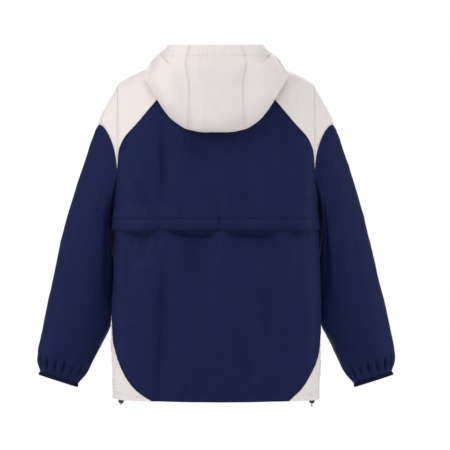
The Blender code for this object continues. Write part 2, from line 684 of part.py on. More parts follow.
def sleeveCap(name, side):
    sample = np.arange(LOWER_SPANS, LOWER_SPANS + UPPER_SPANS + 1, dtype=float)[None, :]
    share = np.array([0.0, 0.2, 0.42, 0.7, 1.0])[:, None] * capShare(sample)
    sample = np.repeat(sample, 5, axis=0)
    outer, out = sleeveWall(sample, share)
    outer = pulledIn(outer, first=False)
    return wallPiece(name, mirrored(outer, side), mirrored(out, side), WHITE)


def sleeve(name, side):
    sample = np.arange(SAMPLES, dtype=float)
    start = np.where(np.abs(sample - TOP_SAMPLE) <= UPPER_SPANS / 2, capShare(sample), 0.0)
    start = start + np.where(start > 0, SEAM / 2 / SLEEVE_LENGTH, 0.0)
    coarse = np.array([0, 0.05, 0.12, 0.20, 0.30, 0.40, 0.50, 0.60, 0.70, 0.79, 0.86, 0.905])
    fine = np.array([0.932, 0.957, 0.980, 1.0])
    share = start[None, :] * (1 - coarse[:, None]) + coarse[:, None]
    outer, out = sleeveWall(np.repeat(sample[None, :], len(coarse), axis=0), share)
    smallSample = np.repeat((np.arange(SAMPLES * FINE) / FINE)[None, :], len(fine), axis=0)
    small, smallOut = sleeveWall(smallSample, np.repeat(fine[:, None], SAMPLES * FINE, axis=1))
    verts, faces = [], []
    for points, way in ((outer, out), (outer - out * CLOTH, -out)):
        big = small if way is out else small - smallOut * CLOTH
        base = len(verts)
        verts += list(points.reshape(-1, 3)) + list(big.reshape(-1, 3))
        mark = base + points.shape[0] * SAMPLES
        for r in range(len(coarse) - 1):
            for c in range(SAMPLES):
                d = (c + 1) % SAMPLES
                low, high = base + r * SAMPLES, base + (r + 1) * SAMPLES
                faces.append((low + c, low + d, high + d, high + c))
        last = base + (len(coarse) - 1) * SAMPLES
        for c in range(SAMPLES):
            d = (c + 1) % SAMPLES
            f = [mark + (c * FINE + i) % (SAMPLES * FINE) for i in range(FINE + 1)]
            faces.append((last + c, f[1], f[0]))
            faces.append((last + c, last + d, f[2], f[1]))
            faces.append((last + d, f[3], f[2]))
        wide = SAMPLES * FINE
        for r in range(len(fine) - 1):
            for c in range(wide):
                d = (c + 1) % wide
                low, high = mark + r * wide, mark + (r + 1) * wide
                faces.append((low + c, low + d, high + d, high + c))
    half = len(verts) // 2
    for c in range(SAMPLES):
        d = (c + 1) % SAMPLES
        faces.append((c, d, half + d, half + c))
    rim = half - SAMPLES * FINE
    for c in range(SAMPLES * FINE):
        d = (c + 1) % (SAMPLES * FINE)
        faces.append((rim + c, rim + d, half + rim + d, half + rim + c))
    return addObject(name, mirrored(np.array(verts), side), faces, NAVY)


def cuff(name, side):
    sample = (np.arange(CUFF_SPANS) * SAMPLES / CUFF_SPANS)[None, :]
    ring = sleevePoint(sample, np.ones_like(sample))
    out = normals(sleevePoint, sample, np.full_like(sample, 0.9999), False)
    middle, half, across = ringFrame(np.array(1.0))
    out *= np.sign(np.sum(out * (ring - middle), axis=-1))[..., None]
    out -= across * np.sum(out * across, axis=-1)[..., None]
    out /= np.linalg.norm(out, axis=-1, keepdims=True)
    down = across if across[2] < 0 else -across
    rows = np.concatenate([ring + down * (SEAM * 1.5), ring + down * (SEAM * 1.5 + CUFF_DEEP)])
    outs = np.concatenate([out, out])
    rows = rows + outs * 0.0006
    return wallPiece(name, mirrored(rows, side), mirrored(outs, side), NAVY, CUFF_THICK, True)


# --- the hood --------------------------------------------------------------------------------

# The hood lies back. For each turn round the neck: where its bottom fold lies on the body
# (x and arch angle), where its rim stands, how full it is, how far its fold, the lip, stands
# off the body, how far its outer layer bulges and how far it drops from the rim before it turns
# out.
HOOD_ROWS = {
    "turn":  (0.0, 20.0, 36.667, 50.0, 65.0, 80.0, 95.0, 110.0, 125.0, 140.0, 155.0, 180.0),
    "foldX": (0.0000, 0.0277, 0.0623, 0.0961, 0.1276, 0.1516, 0.1278, 0.1140, 0.1040, 0.1000, 0.0700,
              0.0100),
    "foldArch": (27.1, 27.5, 29.3, 34.4, 45.2, 61.8, 76.1, 92.1, 106.4, 118.0, 124.0, 128.0),
    "rimX": (0.0000, 0.0317, 0.0587, 0.0814, 0.1016, 0.1093, 0.1104, 0.1056, 0.0948, 0.0750, 0.0470,
              0.0000),
    "rimY": (0.132, 0.132, 0.128, 0.117, 0.094, 0.063, 0.032, 0.000, -0.033, -0.065, -0.090, -0.106),
    "rimZ": (0.0527, 0.0527, 0.0528, 0.0532, 0.0537, 0.0512, 0.0482, 0.0448, 0.0395, 0.0300, 0.0170,
              0.0060),
    "full": (1.0, 1.0, 1.0, 1.0, 1.0, 1.0, 0.92, 0.66, 0.34, 0.10, 0.0, 0.0),
    "lip": (0.0259, 0.0240, 0.0195, 0.0135, 0.0135, 0.0135, 0.0152, 0.0163, 0.0191, 0.0240, 0.0240,
              0.0240),
    "bulge": (0.0520, 0.0520, 0.0520, 0.0560, 0.0480, 0.0180, 0.0180, 0.0188, 0.0190, 0.0120, 0.0080,
              0.0060),
    "drop": (0.0420, 0.0420, 0.0420, 0.0392, 0.0307, 0.0161, 0.0089, 0.0069, 0.0081, 0.0080, 0.0080,
              0.0080),
}
HOOD_LAY = 0.0060         # the under layer lies this far off the body
HOOD_ROW_COUNT = 15       # rows of cloth from the neck to the rim
HOOD_SEAM_COLUMN = 2      # the panel seam is this many samples inside the yoke's seam

hoodRow = {key: curve(HOOD_ROWS["turn"], HOOD_ROWS[key]) for key in HOOD_ROWS}


def hoodGuides(turn):
    """The points that one profile of the hood passes, from the neck to the rim."""
    size = abs(turn)
    side = 1.0 if turn >= 0 else -1.0
    deg = math.degrees(size)
    neckX, neckArch = neckSeam(size)
    foldX, foldArch = float(hoodRow["foldX"](deg)), math.radians(float(hoodRow["foldArch"](deg)))
    rim = np.array([float(hoodRow[key](deg)) for key in ("rimX", "rimY", "rimZ")])
    full, lip, bulge, drop = (float(hoodRow[key](deg)) for key in ("full", "lip", "bulge", "drop"))
    neckArch, neckX = float(neckArch), float(neckX)

    def onBody(share, height):
        x = neckX + (foldX - neckX) * share
        arch = neckArch + (foldArch - neckArch) * share
        return archPoint(x, arch) + archNormals(np.array(max(x, 1e-5)), np.array(arch)) * height

    neck = onBody(0.0, SEAM * 2)
    away = np.array([math.sin(size), math.cos(size), 0.0])
    up = np.array([0.0, 0.0, 1.0])
    pouch = [onBody(share, HOOD_LAY) for share in (0.12, 0.30, 0.50, 0.70, 0.86)]
    pouch += [
        onBody(1.00, HOOD_LAY * 1.6),
        onBody(1.07, lip),
        onBody(0.94, bulge * 0.86),
        onBody(0.62, bulge * 1.12),
        rim + away * (0.006 + 0.25 * drop) - up * drop,
    ]
    stand = [neck + (rim - neck) * s + away * 0.010 * math.sin(math.pi * s)
             for s in np.linspace(0.10, 0.88, len(pouch))]
    guides = [neck] + [p * full + s * (1 - full) for p, s in zip(pouch, stand)] + [rim]
    return np.array(guides) * np.array([side, 1.0, 1.0])


def smoothThrough(points, count):
    """A smooth run through the points, spaced evenly and closer where the turn is tight."""
    points = np.asarray(points)
    ends = np.concatenate([[2 * points[0] - points[1]], points, [2 * points[-1] - points[-2]]])
    dense = []
    for i in range(1, len(ends) - 2):
        p, q, r, s = ends[i - 1:i + 3]
        for t in np.linspace(0, 1, 24, endpoint=False):
            dense.append(0.5 * (2 * q + (r - p) * t + (2 * p - 5 * q + 4 * r - s) * t ** 2
                                + (3 * q - p - 3 * r + s) * t ** 3))
    dense.append(points[-1])
    return evenly(dense, count - 1)


def hoodGrid():
    """The whole hood: a column of points for each sample round the neck."""
    half = np.concatenate([neckBackTurns[BACK_SPANS // 4:], neckYokeTurns[1:],
                           neckFrontTurns[1:]])
    turns = np.concatenate([-half[::-1], half[1:]])
    grid = np.stack([smoothThrough(hoodGuides(t), HOOD_ROW_COUNT) for t in turns], axis=1)
    across = np.gradient(grid, axis=1)
    along = np.gradient(grid, axis=0)
    out = np.cross(along, across)
    out /= np.linalg.norm(out, axis=-1, keepdims=True)
    return turns, grid, out


def hood():
    turns, grid, out = hoodGrid()
    seam = BACK_SPANS // 4 - HOOD_SEAM_COLUMN
    middle = len(turns) // 2
    first, last = middle - seam, middle + seam
    for name, start, stop in (("hood_right", 0, first), ("hood_centre", first, last),
                              ("hood_left", last, len(turns) - 1)):
        part = grid[:, start:stop + 1]
        part = pulledIn(part, first=False, last=False)
        wallPiece(name, part, out[:, start:stop + 1], WHITE)


# --- the zip ---------------------------------------------------------------------------------

TAPE_THICK = 0.0012
ZIP_SPANS = 22            # spans up the zip
SLIDER_WIDE = 0.0100
SLIDER_TALL = 0.0125
SLIDER_DEEP = 0.0050
SLIDER_DROP = 0.0330      # from the top of the zip down to the slider's middle
LUG_WIDE = 0.0012
LUG_TALL = 0.0040
LUG_EDGE = 0.0016         # the lugs reach this far past the pin's middle
LUG_GAP = 0.0052          # between the slider's two lugs
PIN_RADIUS = 0.0009
TAB_RING = 0.0024         # outer radius of the tab's ring
TAB_HOLE = 0.0014
TAB_LONG = 0.0300
TAB_WIDE = 0.0044
TAB_THICK = 0.0014
PIN_OUT = 0.0078          # the pin's middle stands this far in front of the tape


def frontLine():
    """The zip's path up the front, at its edge, and outward normals: body, then stand."""
    z = np.concatenate([np.linspace(HEM_SIDE_Z, -0.16, 17), [-0.135, -0.115, -0.100]])
    x, arch = neckSeam(zipTurn)
    neckZ = float(archPoint(x, arch)[2])
    z = np.append(z[z < neckZ - 0.012], neckZ - 0.004)
    body = bodyPoint(angleAt(ZIP_HALF, z, True), z)
    stand = smoothThrough(hoodGuides(zipTurn), HOOD_ROW_COUNT)[1::2]
    line = np.concatenate([body, stand])
    line = evenly(line, ZIP_SPANS)
    along = np.gradient(line, axis=0)
    out = np.cross(along, np.array([1.0, 0.0, 0.0]))
    out /= np.linalg.norm(out, axis=1, keepdims=True)
    return line, out * np.sign(-out[:, 1])[:, None]


def zipTape(name, side):
    line, out = frontLine()
    inner, outer = SEAM / 2, ZIP_HALF - SEAM
    grid = np.repeat(line[:, None, :], 2, axis=1)
    grid[:, 0, 0], grid[:, 1, 0] = side * inner, side * outer
    return wallPiece(name, grid, np.repeat(out[:, None, :], 2, axis=1), NAVY, TAPE_THICK)


def boxAt(name, low, high, colour=BLACK, roughness=0.4, metallic=0.6):
    (a, b, c), (d, e, f) = low, high
    verts = [(x, y, z) for x in (a, d) for y in (b, e) for z in (c, f)]
    faces = [(0, 1, 3, 2), (4, 6, 7, 5), (0, 4, 5, 1), (2, 3, 7, 6), (0, 2, 6, 4), (1, 5, 7, 3)]
    return addObject(name, verts, faces, colour, roughness, metallic)


def roundAlongX(name, centre, radius, half, sides=16):
    verts = []
    for x in (-half, half):
        for i in range(sides):
            turn = 2 * math.pi * i / sides
            verts.append((centre[0] + x, centre[1] + radius * math.cos(turn),
                          centre[2] + radius * math.sin(turn)))
    faces = [tuple(range(sides)), tuple(range(2 * sides - 1, sides - 1, -1))]
    faces += [(i, (i + 1) % sides, sides + (i + 1) % sides, sides + i) for i in range(sides)]
    return addObject(name, verts, faces, BLACK, 0.4, 0.6)


def cutter(thing):
    thing.hide_render = True
    thing.display_type = "WIRE"


def combine(target, tool, operation):
    step = target.modifiers.new(operation.lower() + "_" + tool.name, "BOOLEAN")
    step.operation = operation
    step.object = tool
    cutter(tool)


def zipPull():
    """The slider with its pin, and the tab that swings on it."""
    line, out = frontLine()
    z = line[-1][2] - SLIDER_DROP
    face = float(np.interp(z, line[:, 2], line[:, 1])) - SEAM
    pinY = face - PIN_OUT
    slider = boxAt("zip_slider", (-SLIDER_WIDE / 2, face - SLIDER_DEEP, z - SLIDER_TALL / 2),
                   (SLIDER_WIDE / 2, face, z + SLIDER_TALL / 2))
    for side in (-1, 1):
        x = sorted((side * LUG_GAP / 2, side * (LUG_GAP / 2 + LUG_WIDE)))
        lug = boxAt("lug_%d" % (side + 1), (x[0], pinY - LUG_EDGE, z - LUG_TALL / 2),
                    (x[1], face - SLIDER_DEEP / 2, z + LUG_TALL / 2))
        combine(slider, lug, "UNION")
    pin = roundAlongX("pin", (0, pinY, z), PIN_RADIUS, LUG_GAP / 2 + LUG_WIDE / 2, 12)
    combine(slider, pin, "UNION")
    tab = roundAlongX("zip_tab", (0, pinY, z), TAB_RING, TAB_WIDE / 2)
    blade = boxAt("blade", (-TAB_WIDE / 2, pinY - TAB_THICK / 2, z - TAB_LONG),
                  (TAB_WIDE / 2, pinY + TAB_THICK / 2, z - TAB_HOLE - 0.0004))
    combine(tab, blade, "UNION")
    hole = roundAlongX("hole", (0, pinY, z), TAB_HOLE, TAB_WIDE)
    combine(tab, hole, "DIFFERENCE")


# --- hem cords and their stoppers ------------------------------------------------------------

STOPPER_X = (0.2210, -0.2240)       # left, right
STOPPER_WIDE = 0.0125
STOPPER_TALL = 0.0098
STOPPER_DEEP = 0.0080
STOPPER_BORE = 0.0016     # radius of the hole through it
CORD_WIDE = 0.0024
STOPPER_DROP = 0.0030     # the stopper's top is this far below the hem at the sides
CORD_BEND = 0.0090        # radius of the cord's bend as it leaves the hem
CORD_RISE = 0.0180        # the cord leaves the hem's inner side this far above its edge
CORD_TAIL = (0.0045, 0.0080)        # and hangs this far below the stopper


def hemCord(word, x, tail):
    """A short end of the hem's elastic cord, hanging inside the hem and through its stopper."""
    angle = angleAt(x, HEM_SIDE_Z)
    edge, out = bodyPoint(angle, HEM_SIDE_Z), bodyNormals(angle, np.array(HEM_SIDE_Z))
    start = edge - out * (CLOTH + SEAM)
    centre = start - out * CORD_BEND
    top = HEM_SIDE_Z - STOPPER_DROP
    outline = [(-0.42, 0.0), (-0.50, -0.35), (-0.50, -0.60), (-0.30, -1.0), (0.30, -1.0),
               (0.50, -0.60), (0.50, -0.35), (0.42, 0.0)]
    verts = []
    for y in (-STOPPER_DEEP / 2, STOPPER_DEEP / 2):
        for across, down in outline:
            verts.append((centre[0] + across * STOPPER_WIDE, centre[1] + y,
                          top + down * STOPPER_TALL))
    count = len(outline)
    faces = [tuple(range(count)), tuple(range(2 * count - 1, count - 1, -1))]
    faces += [(i, (i + 1) % count, count + (i + 1) % count, count + i) for i in range(count)]
    stopper = addObject("stopper_" + word, verts, faces, BLACK, 0.5)
    sides = 12
    bore = []
    for z in (top + 0.002, top - STOPPER_TALL - 0.002):
        for i in range(sides):
            turn = 2 * math.pi * i / sides
            bore.append((centre[0] + STOPPER_BORE * math.cos(turn),
                         centre[1] + STOPPER_BORE * math.sin(turn), z))
    faces = [tuple(range(sides)), tuple(range(2 * sides - 1, sides - 1, -1))]
    faces += [(i, (i + 1) % sides, sides + (i + 1) % sides, sides + i) for i in range(sides)]
    combine(stopper, addObject("bore_" + word, bore, faces, BLACK), "DIFFERENCE")
    route = bpy.data.curves.new("hem_cord_" + word, "CURVE")
    route.dimensions = "3D"
    route.bevel_depth = CORD_WIDE / 2
    route.bevel_resolution = 2
    route.use_fill_caps = True
    high = HEM_SIDE_Z + CORD_RISE
    turns = np.linspace(0, math.pi / 2, 7)
    bend = [(*(start - out * CORD_BEND * math.sin(t))[:2], high - CORD_BEND * (1 - math.cos(t)))
            for t in turns]
    fall = np.linspace(high - CORD_BEND, top - STOPPER_TALL - tail, 7)[1:]
    bend += [(centre[0], centre[1], z) for z in fall]
    spline = route.splines.new("POLY")
    spline.points.add(len(bend) - 1)
    for spot, place in zip(spline.points, bend):
        spot.co = (*place, 1.0)
    route.materials.append(material("hem_cord_finish_" + word, GREY, 0.8))
    cord = bpy.data.objects.new("hem_cord_" + word, route)
    bpy.context.scene.collection.objects.link(cord)


def clearScene():
    for thing in list(bpy.data.objects):
        bpy.data.objects.remove(thing, do_unlink=True)


def main():
    clearScene()
    backUpper()
    backLower()
    for word, side in (("left", 1), ("right", -1)):
        sideGusset("side_gusset_" + word, side)
        frontPiece("front_" + word, side)
        yoke("yoke_" + word, side)
        sleeveCap("sleeve_cap_" + word, side)
        sleeve("sleeve_" + word, side)
        cuff("cuff_" + word, side)
        zipTape("zip_" + word, side)
    hood()
    zipPull()
    hemCord("left", STOPPER_X[0], CORD_TAIL[0])
    hemCord("right", STOPPER_X[1], CORD_TAIL[1])


main()
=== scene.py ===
import math

import bmesh
import bpy
import numpy as np
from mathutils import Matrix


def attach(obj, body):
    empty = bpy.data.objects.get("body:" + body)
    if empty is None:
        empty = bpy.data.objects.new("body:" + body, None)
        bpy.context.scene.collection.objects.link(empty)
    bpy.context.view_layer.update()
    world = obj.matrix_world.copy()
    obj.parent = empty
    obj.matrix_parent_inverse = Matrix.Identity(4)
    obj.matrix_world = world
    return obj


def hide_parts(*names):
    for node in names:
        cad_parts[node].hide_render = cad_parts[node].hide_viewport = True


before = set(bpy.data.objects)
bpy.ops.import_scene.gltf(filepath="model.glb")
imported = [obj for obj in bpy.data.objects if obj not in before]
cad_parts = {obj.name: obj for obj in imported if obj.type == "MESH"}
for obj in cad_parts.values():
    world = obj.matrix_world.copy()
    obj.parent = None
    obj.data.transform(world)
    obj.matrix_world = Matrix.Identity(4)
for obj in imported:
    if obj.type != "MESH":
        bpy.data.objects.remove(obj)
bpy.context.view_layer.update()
scene = bpy.context.scene
jacket = "jacket"
sides = (("left", 1), ("right", -1))

# Camera, light and floor. The camera stands behind the jacket, level with the middle of its back.
studio = {
    "distance": 16.0, "middleX": -0.0203, "middleZ": -0.3488, "lens": 568.9, "sensor": 36.0,
    "floorZ": -0.95, "floorSize": 60.0, "floorWhite": 0.94, "floorRough": 0.9, "floorGloss": 0.1,
    "sky": 1.0, "fill": 0.30, "floorGlow": 0.72, "aimZ": -0.35,
    # name, place, how far to the side it aims, size, watts
    "lamps": (
        ("overhead", (0.0, 1.5, 3.2), 0.0, (1.6, 1.0), 34),
        ("upperLeft", (2.1, 1.9, 1.7), 0.0, (0.9, 0.9), 44),
        ("behindCamera", (0.0, 6.0, 0.3), 0.0, (3.0, 2.4), 58),
        ("sideLeft", (3.2, 0.5, 0.3), 0.2, (1.0, 2.4), 16),
        ("sideRight", (-3.2, 0.5, 0.3), -0.2, (1.0, 2.4), 40),
        ("frontFill", (-0.8, -3.0, 1.6), 0.0, (2.4, 1.6), 60),
    ),
}


def placed(name, data):
    thing = bpy.data.objects.new(name, data)
    scene.collection.objects.link(thing)
    return thing


def setInputs(node, values):
    for label, value in values.items():
        node.inputs[label].default_value = value


def addCamera():
    lens = bpy.data.cameras.new("camera")
    lens.lens, lens.sensor_width = studio["lens"], studio["sensor"]
    scene.camera = placed("camera", lens)
    scene.camera.location = (studio["middleX"], studio["distance"], studio["middleZ"])
    scene.camera.rotation_euler = (math.pi / 2, 0, math.pi)


def addLamp(name, place, aimX, size, watts):
    lamp = bpy.data.lights.new(name, "AREA")
    lamp.shape, lamp.size, lamp.size_y, lamp.energy = "RECTANGLE", *size, watts
    thing = placed(name, lamp)
    thing.location = place
    x, y, z = np.array((aimX, 0.0, studio["aimZ"])) - np.array(place)
    tilt = math.pi / 2 + math.atan2(z, math.hypot(x, y))
    thing.rotation_euler = (tilt, 0, math.atan2(y, x) - math.pi / 2)


def cameraSees(tree, seen, unseen, socket):
    # one value for what the camera looks at, and another for the light that it gives
    path = tree.nodes.new("ShaderNodeLightPath")
    level = tree.nodes.new("ShaderNodeMapRange")
    setInputs(level, {"To Min": unseen, "To Max": seen})
    tree.links.new(path.outputs["Is Camera Ray"], level.inputs["Value"])
    tree.links.new(level.outputs["Result"], socket)


def addStudio():
    for row in studio["lamps"]:
        addLamp(*row)
    scene.world = bpy.data.worlds.new("studioAir")
    scene.world.use_nodes = True
    tree = scene.world.node_tree
    back = tree.nodes["Background"]
    setInputs(back, {"Color": (1, 1, 1, 1)})
    cameraSees(tree, studio["sky"], studio["fill"], back.inputs["Strength"])
    scene.view_settings.view_transform = "Standard"
    half = studio["floorSize"] / 2
    mesh = bpy.data.meshes.new("floor")
    mesh.from_pydata([(x * half, y * half, studio["floorZ"])
                      for x, y in ((-1, -1), (1, -1), (1, 1), (-1, 1))], [], [(0, 1, 2, 3)])
    floor = placed("floor", mesh)
    paint = bpy.data.materials.new("paleFloor")
    paint.use_nodes = True
    shader = paint.node_tree.nodes["Principled BSDF"]
    setInputs(shader, {"Base Color": (*[studio["floorWhite"]] * 3, 1),
                       "Roughness": studio["floorRough"], "Emission Color": (1, 1, 1, 1),
                       "Specular IOR Level": studio["floorGloss"]})
    cameraSees(paint.node_tree, studio["floorGlow"], 0.0, shader.inputs["Emission Strength"])
    mesh.materials.append(paint)


# small tools

def ramp(value, start, stop):
    t = np.clip((np.asarray(value, float) - start) / (stop - start), 0.0, 1.0)
    return t * t * (3.0 - 2.0 * t)


def curve(xs, ys):
    # a smooth function through the points that never overshoots them
    xs, ys = np.asarray(xs, float), np.asarray(ys, float)
    if xs[0] > xs[-1]:
        xs, ys = xs[::-1], ys[::-1]
    step = np.diff(xs)
    slope = np.diff(ys) / step
    tangent = np.zeros_like(ys)
    tangent[0], tangent[-1] = slope[0], slope[-1]
    for i in range(1, len(xs) - 1):
        if slope[i - 1] * slope[i] > 0:
            w1, w2 = 2 * step[i] + step[i - 1], step[i] + 2 * step[i - 1]
            tangent[i] = (w1 + w2) / (w1 / slope[i - 1] + w2 / slope[i])

    def value(x):
        x = np.clip(np.asarray(x, float), xs[0], xs[-1])
        i = np.clip(np.searchsorted(xs, x) - 1, 0, len(step) - 1)
        h = step[i]
        t = (x - xs[i]) / h
        return ((1 + 2 * t) * (1 - t) ** 2 * ys[i] + t * (1 - t) ** 2 * h * tangent[i]
                + t * t * (3 - 2 * t) * ys[i + 1] + t * t * (t - 1) * h * tangent[i + 1])

    return value


def runOf(points, axis=0):
    # length along a grid's rows or columns, from its first point
    step = np.linalg.norm(np.diff(points, axis=axis), axis=-1)
    start = np.zeros_like(np.take(step, [0], axis=axis))
    return np.concatenate([start, np.cumsum(step, axis=axis)], axis=axis)


def sampled(at, run, values):
    # each column of the values, read at the given places along a run
    return np.stack([np.interp(at, run, values[:, k]) for k in range(values.shape[1])], axis=1)


def evenly(points, spans):
    points = np.asarray(points, float)
    run = runOf(points)
    return sampled(np.linspace(0.0, run[-1], spans + 1), run, points)


def finer(values, times):
    # more rows between the given ones
    values = np.asarray(values, float)
    at = np.linspace(0, len(values) - 1, (len(values) - 1) * times + 1)
    return np.interp(at, np.arange(len(values)), values)


def unit(vectors):
    return vectors / np.maximum(np.linalg.norm(vectors, axis=-1, keepdims=True), 1e-12)


def softNoise(u, v, size, seed):
    # smooth noise from -1 to 1 with humps of the given size
    cells = 64
    lattice = np.random.default_rng(seed).uniform(-1, 1, (cells, cells))
    u, v = np.broadcast_arrays(np.asarray(u, float) / size + 17.3, np.asarray(v, float) / size + 9.1)
    i, j = np.floor(u).astype(int), np.floor(v).astype(int)
    a, b = u - i, v - j
    a, b = a * a * (3 - 2 * a), b * b * (3 - 2 * b)
    i, j, k, l = i % cells, j % cells, (i + 1) % cells, (j + 1) % cells
    return ((lattice[i, j] * (1 - a) + lattice[k, j] * a) * (1 - b)
            + (lattice[i, l] * (1 - a) + lattice[k, l] * a) * b)


def ripples(u, v, size, seed):
    # soft sharp-topped wrinkles, 0 to 1
    bend = softNoise(u, v, size * 2.3, seed + 1) * size * 0.8
    return (1 - np.abs(softNoise(u + bend, v, size, seed))) ** 3


def crumpled(u, v, look, shift=0, aside=0.0):
    # sharp wrinkles about their mean height, and softer waves
    across, down, size, seed, height = look["wrinkle"]
    depth = (ripples(u * across + aside, v * down, size, seed + shift) - cloth["rippleMean"]) * height
    for across, down, size, seed, height in look["waves"]:
        depth = depth + softNoise(u * across + aside, v * down, size, seed + shift) * height
    return depth


# the body's form

bodyForm = {
    "underarm": -0.302, "flapEdge": -0.3600, "ventTop": -0.3330,
    "hemSide": -0.7355, "hemCorner": -0.7432, "hemBack": -0.7457,
    "back": 0.108, "front": 0.112, "corner": 3.5, "shoulderCorner": 2.6, "taper": 0.12,
    "armBack": 0.2216, "armFront": 0.1950, "junction": -0.2221, "underarmAngle": 1.62,
    "rowZ":     (-0.760, -0.740, -0.640, -0.495, -0.430, -0.360, -0.302),
    "rowWidth": (0.2345, 0.2347, 0.2356, 0.2357, 0.2350, 0.2329, 0.2295),
    "rowGrow":  (0.0035, 0.0040, 0.0060, 0.0060, 0.0050, 0.0025, 0.0000),
    "ridgeX": (0.000, 0.060, 0.090, 0.120, 0.152, 0.1715, 0.191, 0.210, 0.2216, 0.240),
    "ridgeZ": (0.052, 0.044, 0.034, 0.0205, 0.0045, -0.0060, -0.0150, -0.0255, -0.0345, -0.052),
    "neckWidth": 0.088, "neckLength": 0.083, "neckY": -0.015,
    "neckBack": math.radians(55), "neckFront": math.radians(125),
    "zipHalf": 0.0150, "fullDeep": 0.0019, "fullWide": 0.22,
}
cloth = {"thick": 0.0011, "seam": 0.0003, "cadThick": 0.0013, "farGap": 0.2, "rippleMean": 0.35}
spans = {"lowerArm": 20, "upperArm": 70, "yoke": 40, "back": 168, "front": 72, "gusset": 80}

bodyWidth = curve(bodyForm["rowZ"], bodyForm["rowWidth"])
bodyGrow = curve(bodyForm["rowZ"], bodyForm["rowGrow"])
shoulderHeight = curve(bodyForm["ridgeX"], bodyForm["ridgeZ"])


def squared(angle, corner):
    s, c = np.sin(angle), np.cos(angle)
    size = (np.abs(s) ** corner + np.abs(c) ** corner) ** (1.0 / corner)
    return s / size, c / size


def sideTaper(toBack):
    return 1.0 - bodyForm["taper"] * ramp(-toBack, -0.35, 0.60)


def widthShare(angle):
    across, toBack = squared(angle, bodyForm["corner"])
    return sideTaper(toBack) * across


fullTurn = np.linspace(0.0, math.pi, 4001)
widest = int(np.argmax(widthShare(fullTurn)))


def angleAt(x, z, front=False):
    # the angle round the body where its cloth is x from the middle line
    share = np.abs(x) / bodyWidth(z)
    half = fullTurn[widest:][::-1] if front else fullTurn[:widest + 1]
    return np.sign(x) * np.interp(share, widthShare(half), half)


def archDepth(x, front=False):
    angle = np.abs(angleAt(np.maximum(np.abs(x), 1e-6), bodyForm["underarm"], front))
    toBack = squared(angle, bodyForm["corner"])[1]
    return np.maximum(-bodyForm["front"] * toBack, 0.004) if front else bodyForm["back"] * toBack


def bodyPoint(angle, z):
    # angle 0 is the middle of the back
    angle, z = np.broadcast_arrays(np.asarray(angle, float), np.asarray(z, float))
    across, toBack = squared(angle, bodyForm["corner"])
    x = bodyWidth(z) * sideTaper(toBack) * across
    depth = np.where(toBack > 0, bodyForm["back"], bodyForm["front"]) + bodyGrow(z)
    high = shoulderHeight(np.abs(x))
    up = np.clip((z - bodyForm["underarm"]) / (high - bodyForm["underarm"]), 0.0, 1.0)
    lean = (1.0 - up ** bodyForm["shoulderCorner"]) ** (1.0 / bodyForm["shoulderCorner"])
    return np.stack([x, depth * toBack * lean, z], axis=-1)


def archPoint(x, angle):
    # the shoulder's arch: 0 on the back, pi/2 on its ridge
    x, angle = np.broadcast_arrays(np.asarray(x, float), np.asarray(angle, float))
    rise, toBack = squared(angle, bodyForm["shoulderCorner"])
    depth = np.where(toBack > 0, archDepth(x), archDepth(x, True))
    z = bodyForm["underarm"] + (shoulderHeight(np.abs(x)) - bodyForm["underarm"]) * rise
    return np.stack([x, depth * toBack, z], axis=-1)


def archAngle(x, z, front=False):
    up = (z - bodyForm["underarm"]) / (shoulderHeight(np.abs(x)) - bodyForm["underarm"])
    along = np.linspace(0.0, math.pi / 2, 2001)
    angle = np.interp(np.clip(up, 0.0, 1.0), squared(along, bodyForm["shoulderCorner"])[0], along)
    return math.pi - angle if front else angle


def normalsOf(form, u, v, flip):
    step = 1e-4
    du = form(u + step, v) - form(u - step, v)
    dv = form(u, v + step) - form(u, v - step)
    n = unit(np.cross(du, dv))
    return -n if flip else n


def bodyNormals(angle, z):
    return normalsOf(bodyPoint, angle, z, True)


def archNormals(x, angle):
    n = normalsOf(archPoint, x, angle, False)
    mid = archPoint(x, angle)
    away = n[..., 1] * np.sign(mid[..., 1]) + n[..., 2]
    return n * np.sign(away)[..., None]


# the hem's cords, made before the cloth

hemCords = {
    "wide": 0.0024, "bend": 0.0090, "rise": 0.0180, "stopperDrop": 0.0030, "stopperTall": 0.0098,
    "left": {"x": 0.2210, "tail": 0.0045}, "right": {"x": -0.2240, "tail": 0.0080},
}


def hemCord(word):
    # out of the hem's inner side, over a small bend and straight down through the stopper
    size, end = hemCords, hemCords[word]
    hem = bodyForm["hemSide"]
    angle = angleAt(end["x"], hem)
    out = bodyNormals(angle, np.array(hem))
    start = bodyPoint(angle, hem) - out * (cloth["cadThick"] + cloth["seam"])
    centre = start - out * size["bend"]
    high = hem + size["rise"]
    route = [(*(start - out * size["bend"] * math.sin(t))[:2],
              high - size["bend"] * (1 - math.cos(t))) for t in np.linspace(0, math.pi / 2, 7)]
    low = hem - size["stopperDrop"] - size["stopperTall"] - end["tail"]
    route += [(centre[0], centre[1], z) for z in np.linspace(high - size["bend"], low, 7)[1:]]
    line = bpy.data.curves.new("hemCord" + word.title(), "CURVE")
    line.dimensions = "3D"
    line.bevel_depth, line.bevel_resolution, line.use_fill_caps = size["wide"] / 2, 3, True
    spline = line.splines.new("POLY")
    spline.points.add(len(route) - 1)
    for spot, place in zip(spline.points, route):
        spot.co = (*place, 1.0)
    return placed("hemCord" + word.title(), line), route, float(runOf(np.array(route))[-1])


addCamera()
cordsMade = {word: hemCord(word) for word, side in sides}
addStudio()
print("camera, cords and studio made")


# materials

def groupOf(name, inputs, outputs):
    group = bpy.data.node_groups.new(name, "ShaderNodeTree")
    for label, value in inputs:
        group.interface.new_socket(label, in_out="INPUT",
                                   socket_type="NodeSocketFloat").default_value = value
    for label in outputs:
        group.interface.new_socket(label, in_out="OUTPUT", socket_type="NodeSocketFloat")
    return group, group.nodes.new("NodeGroupInput").outputs, group.nodes.new("NodeGroupOutput").inputs


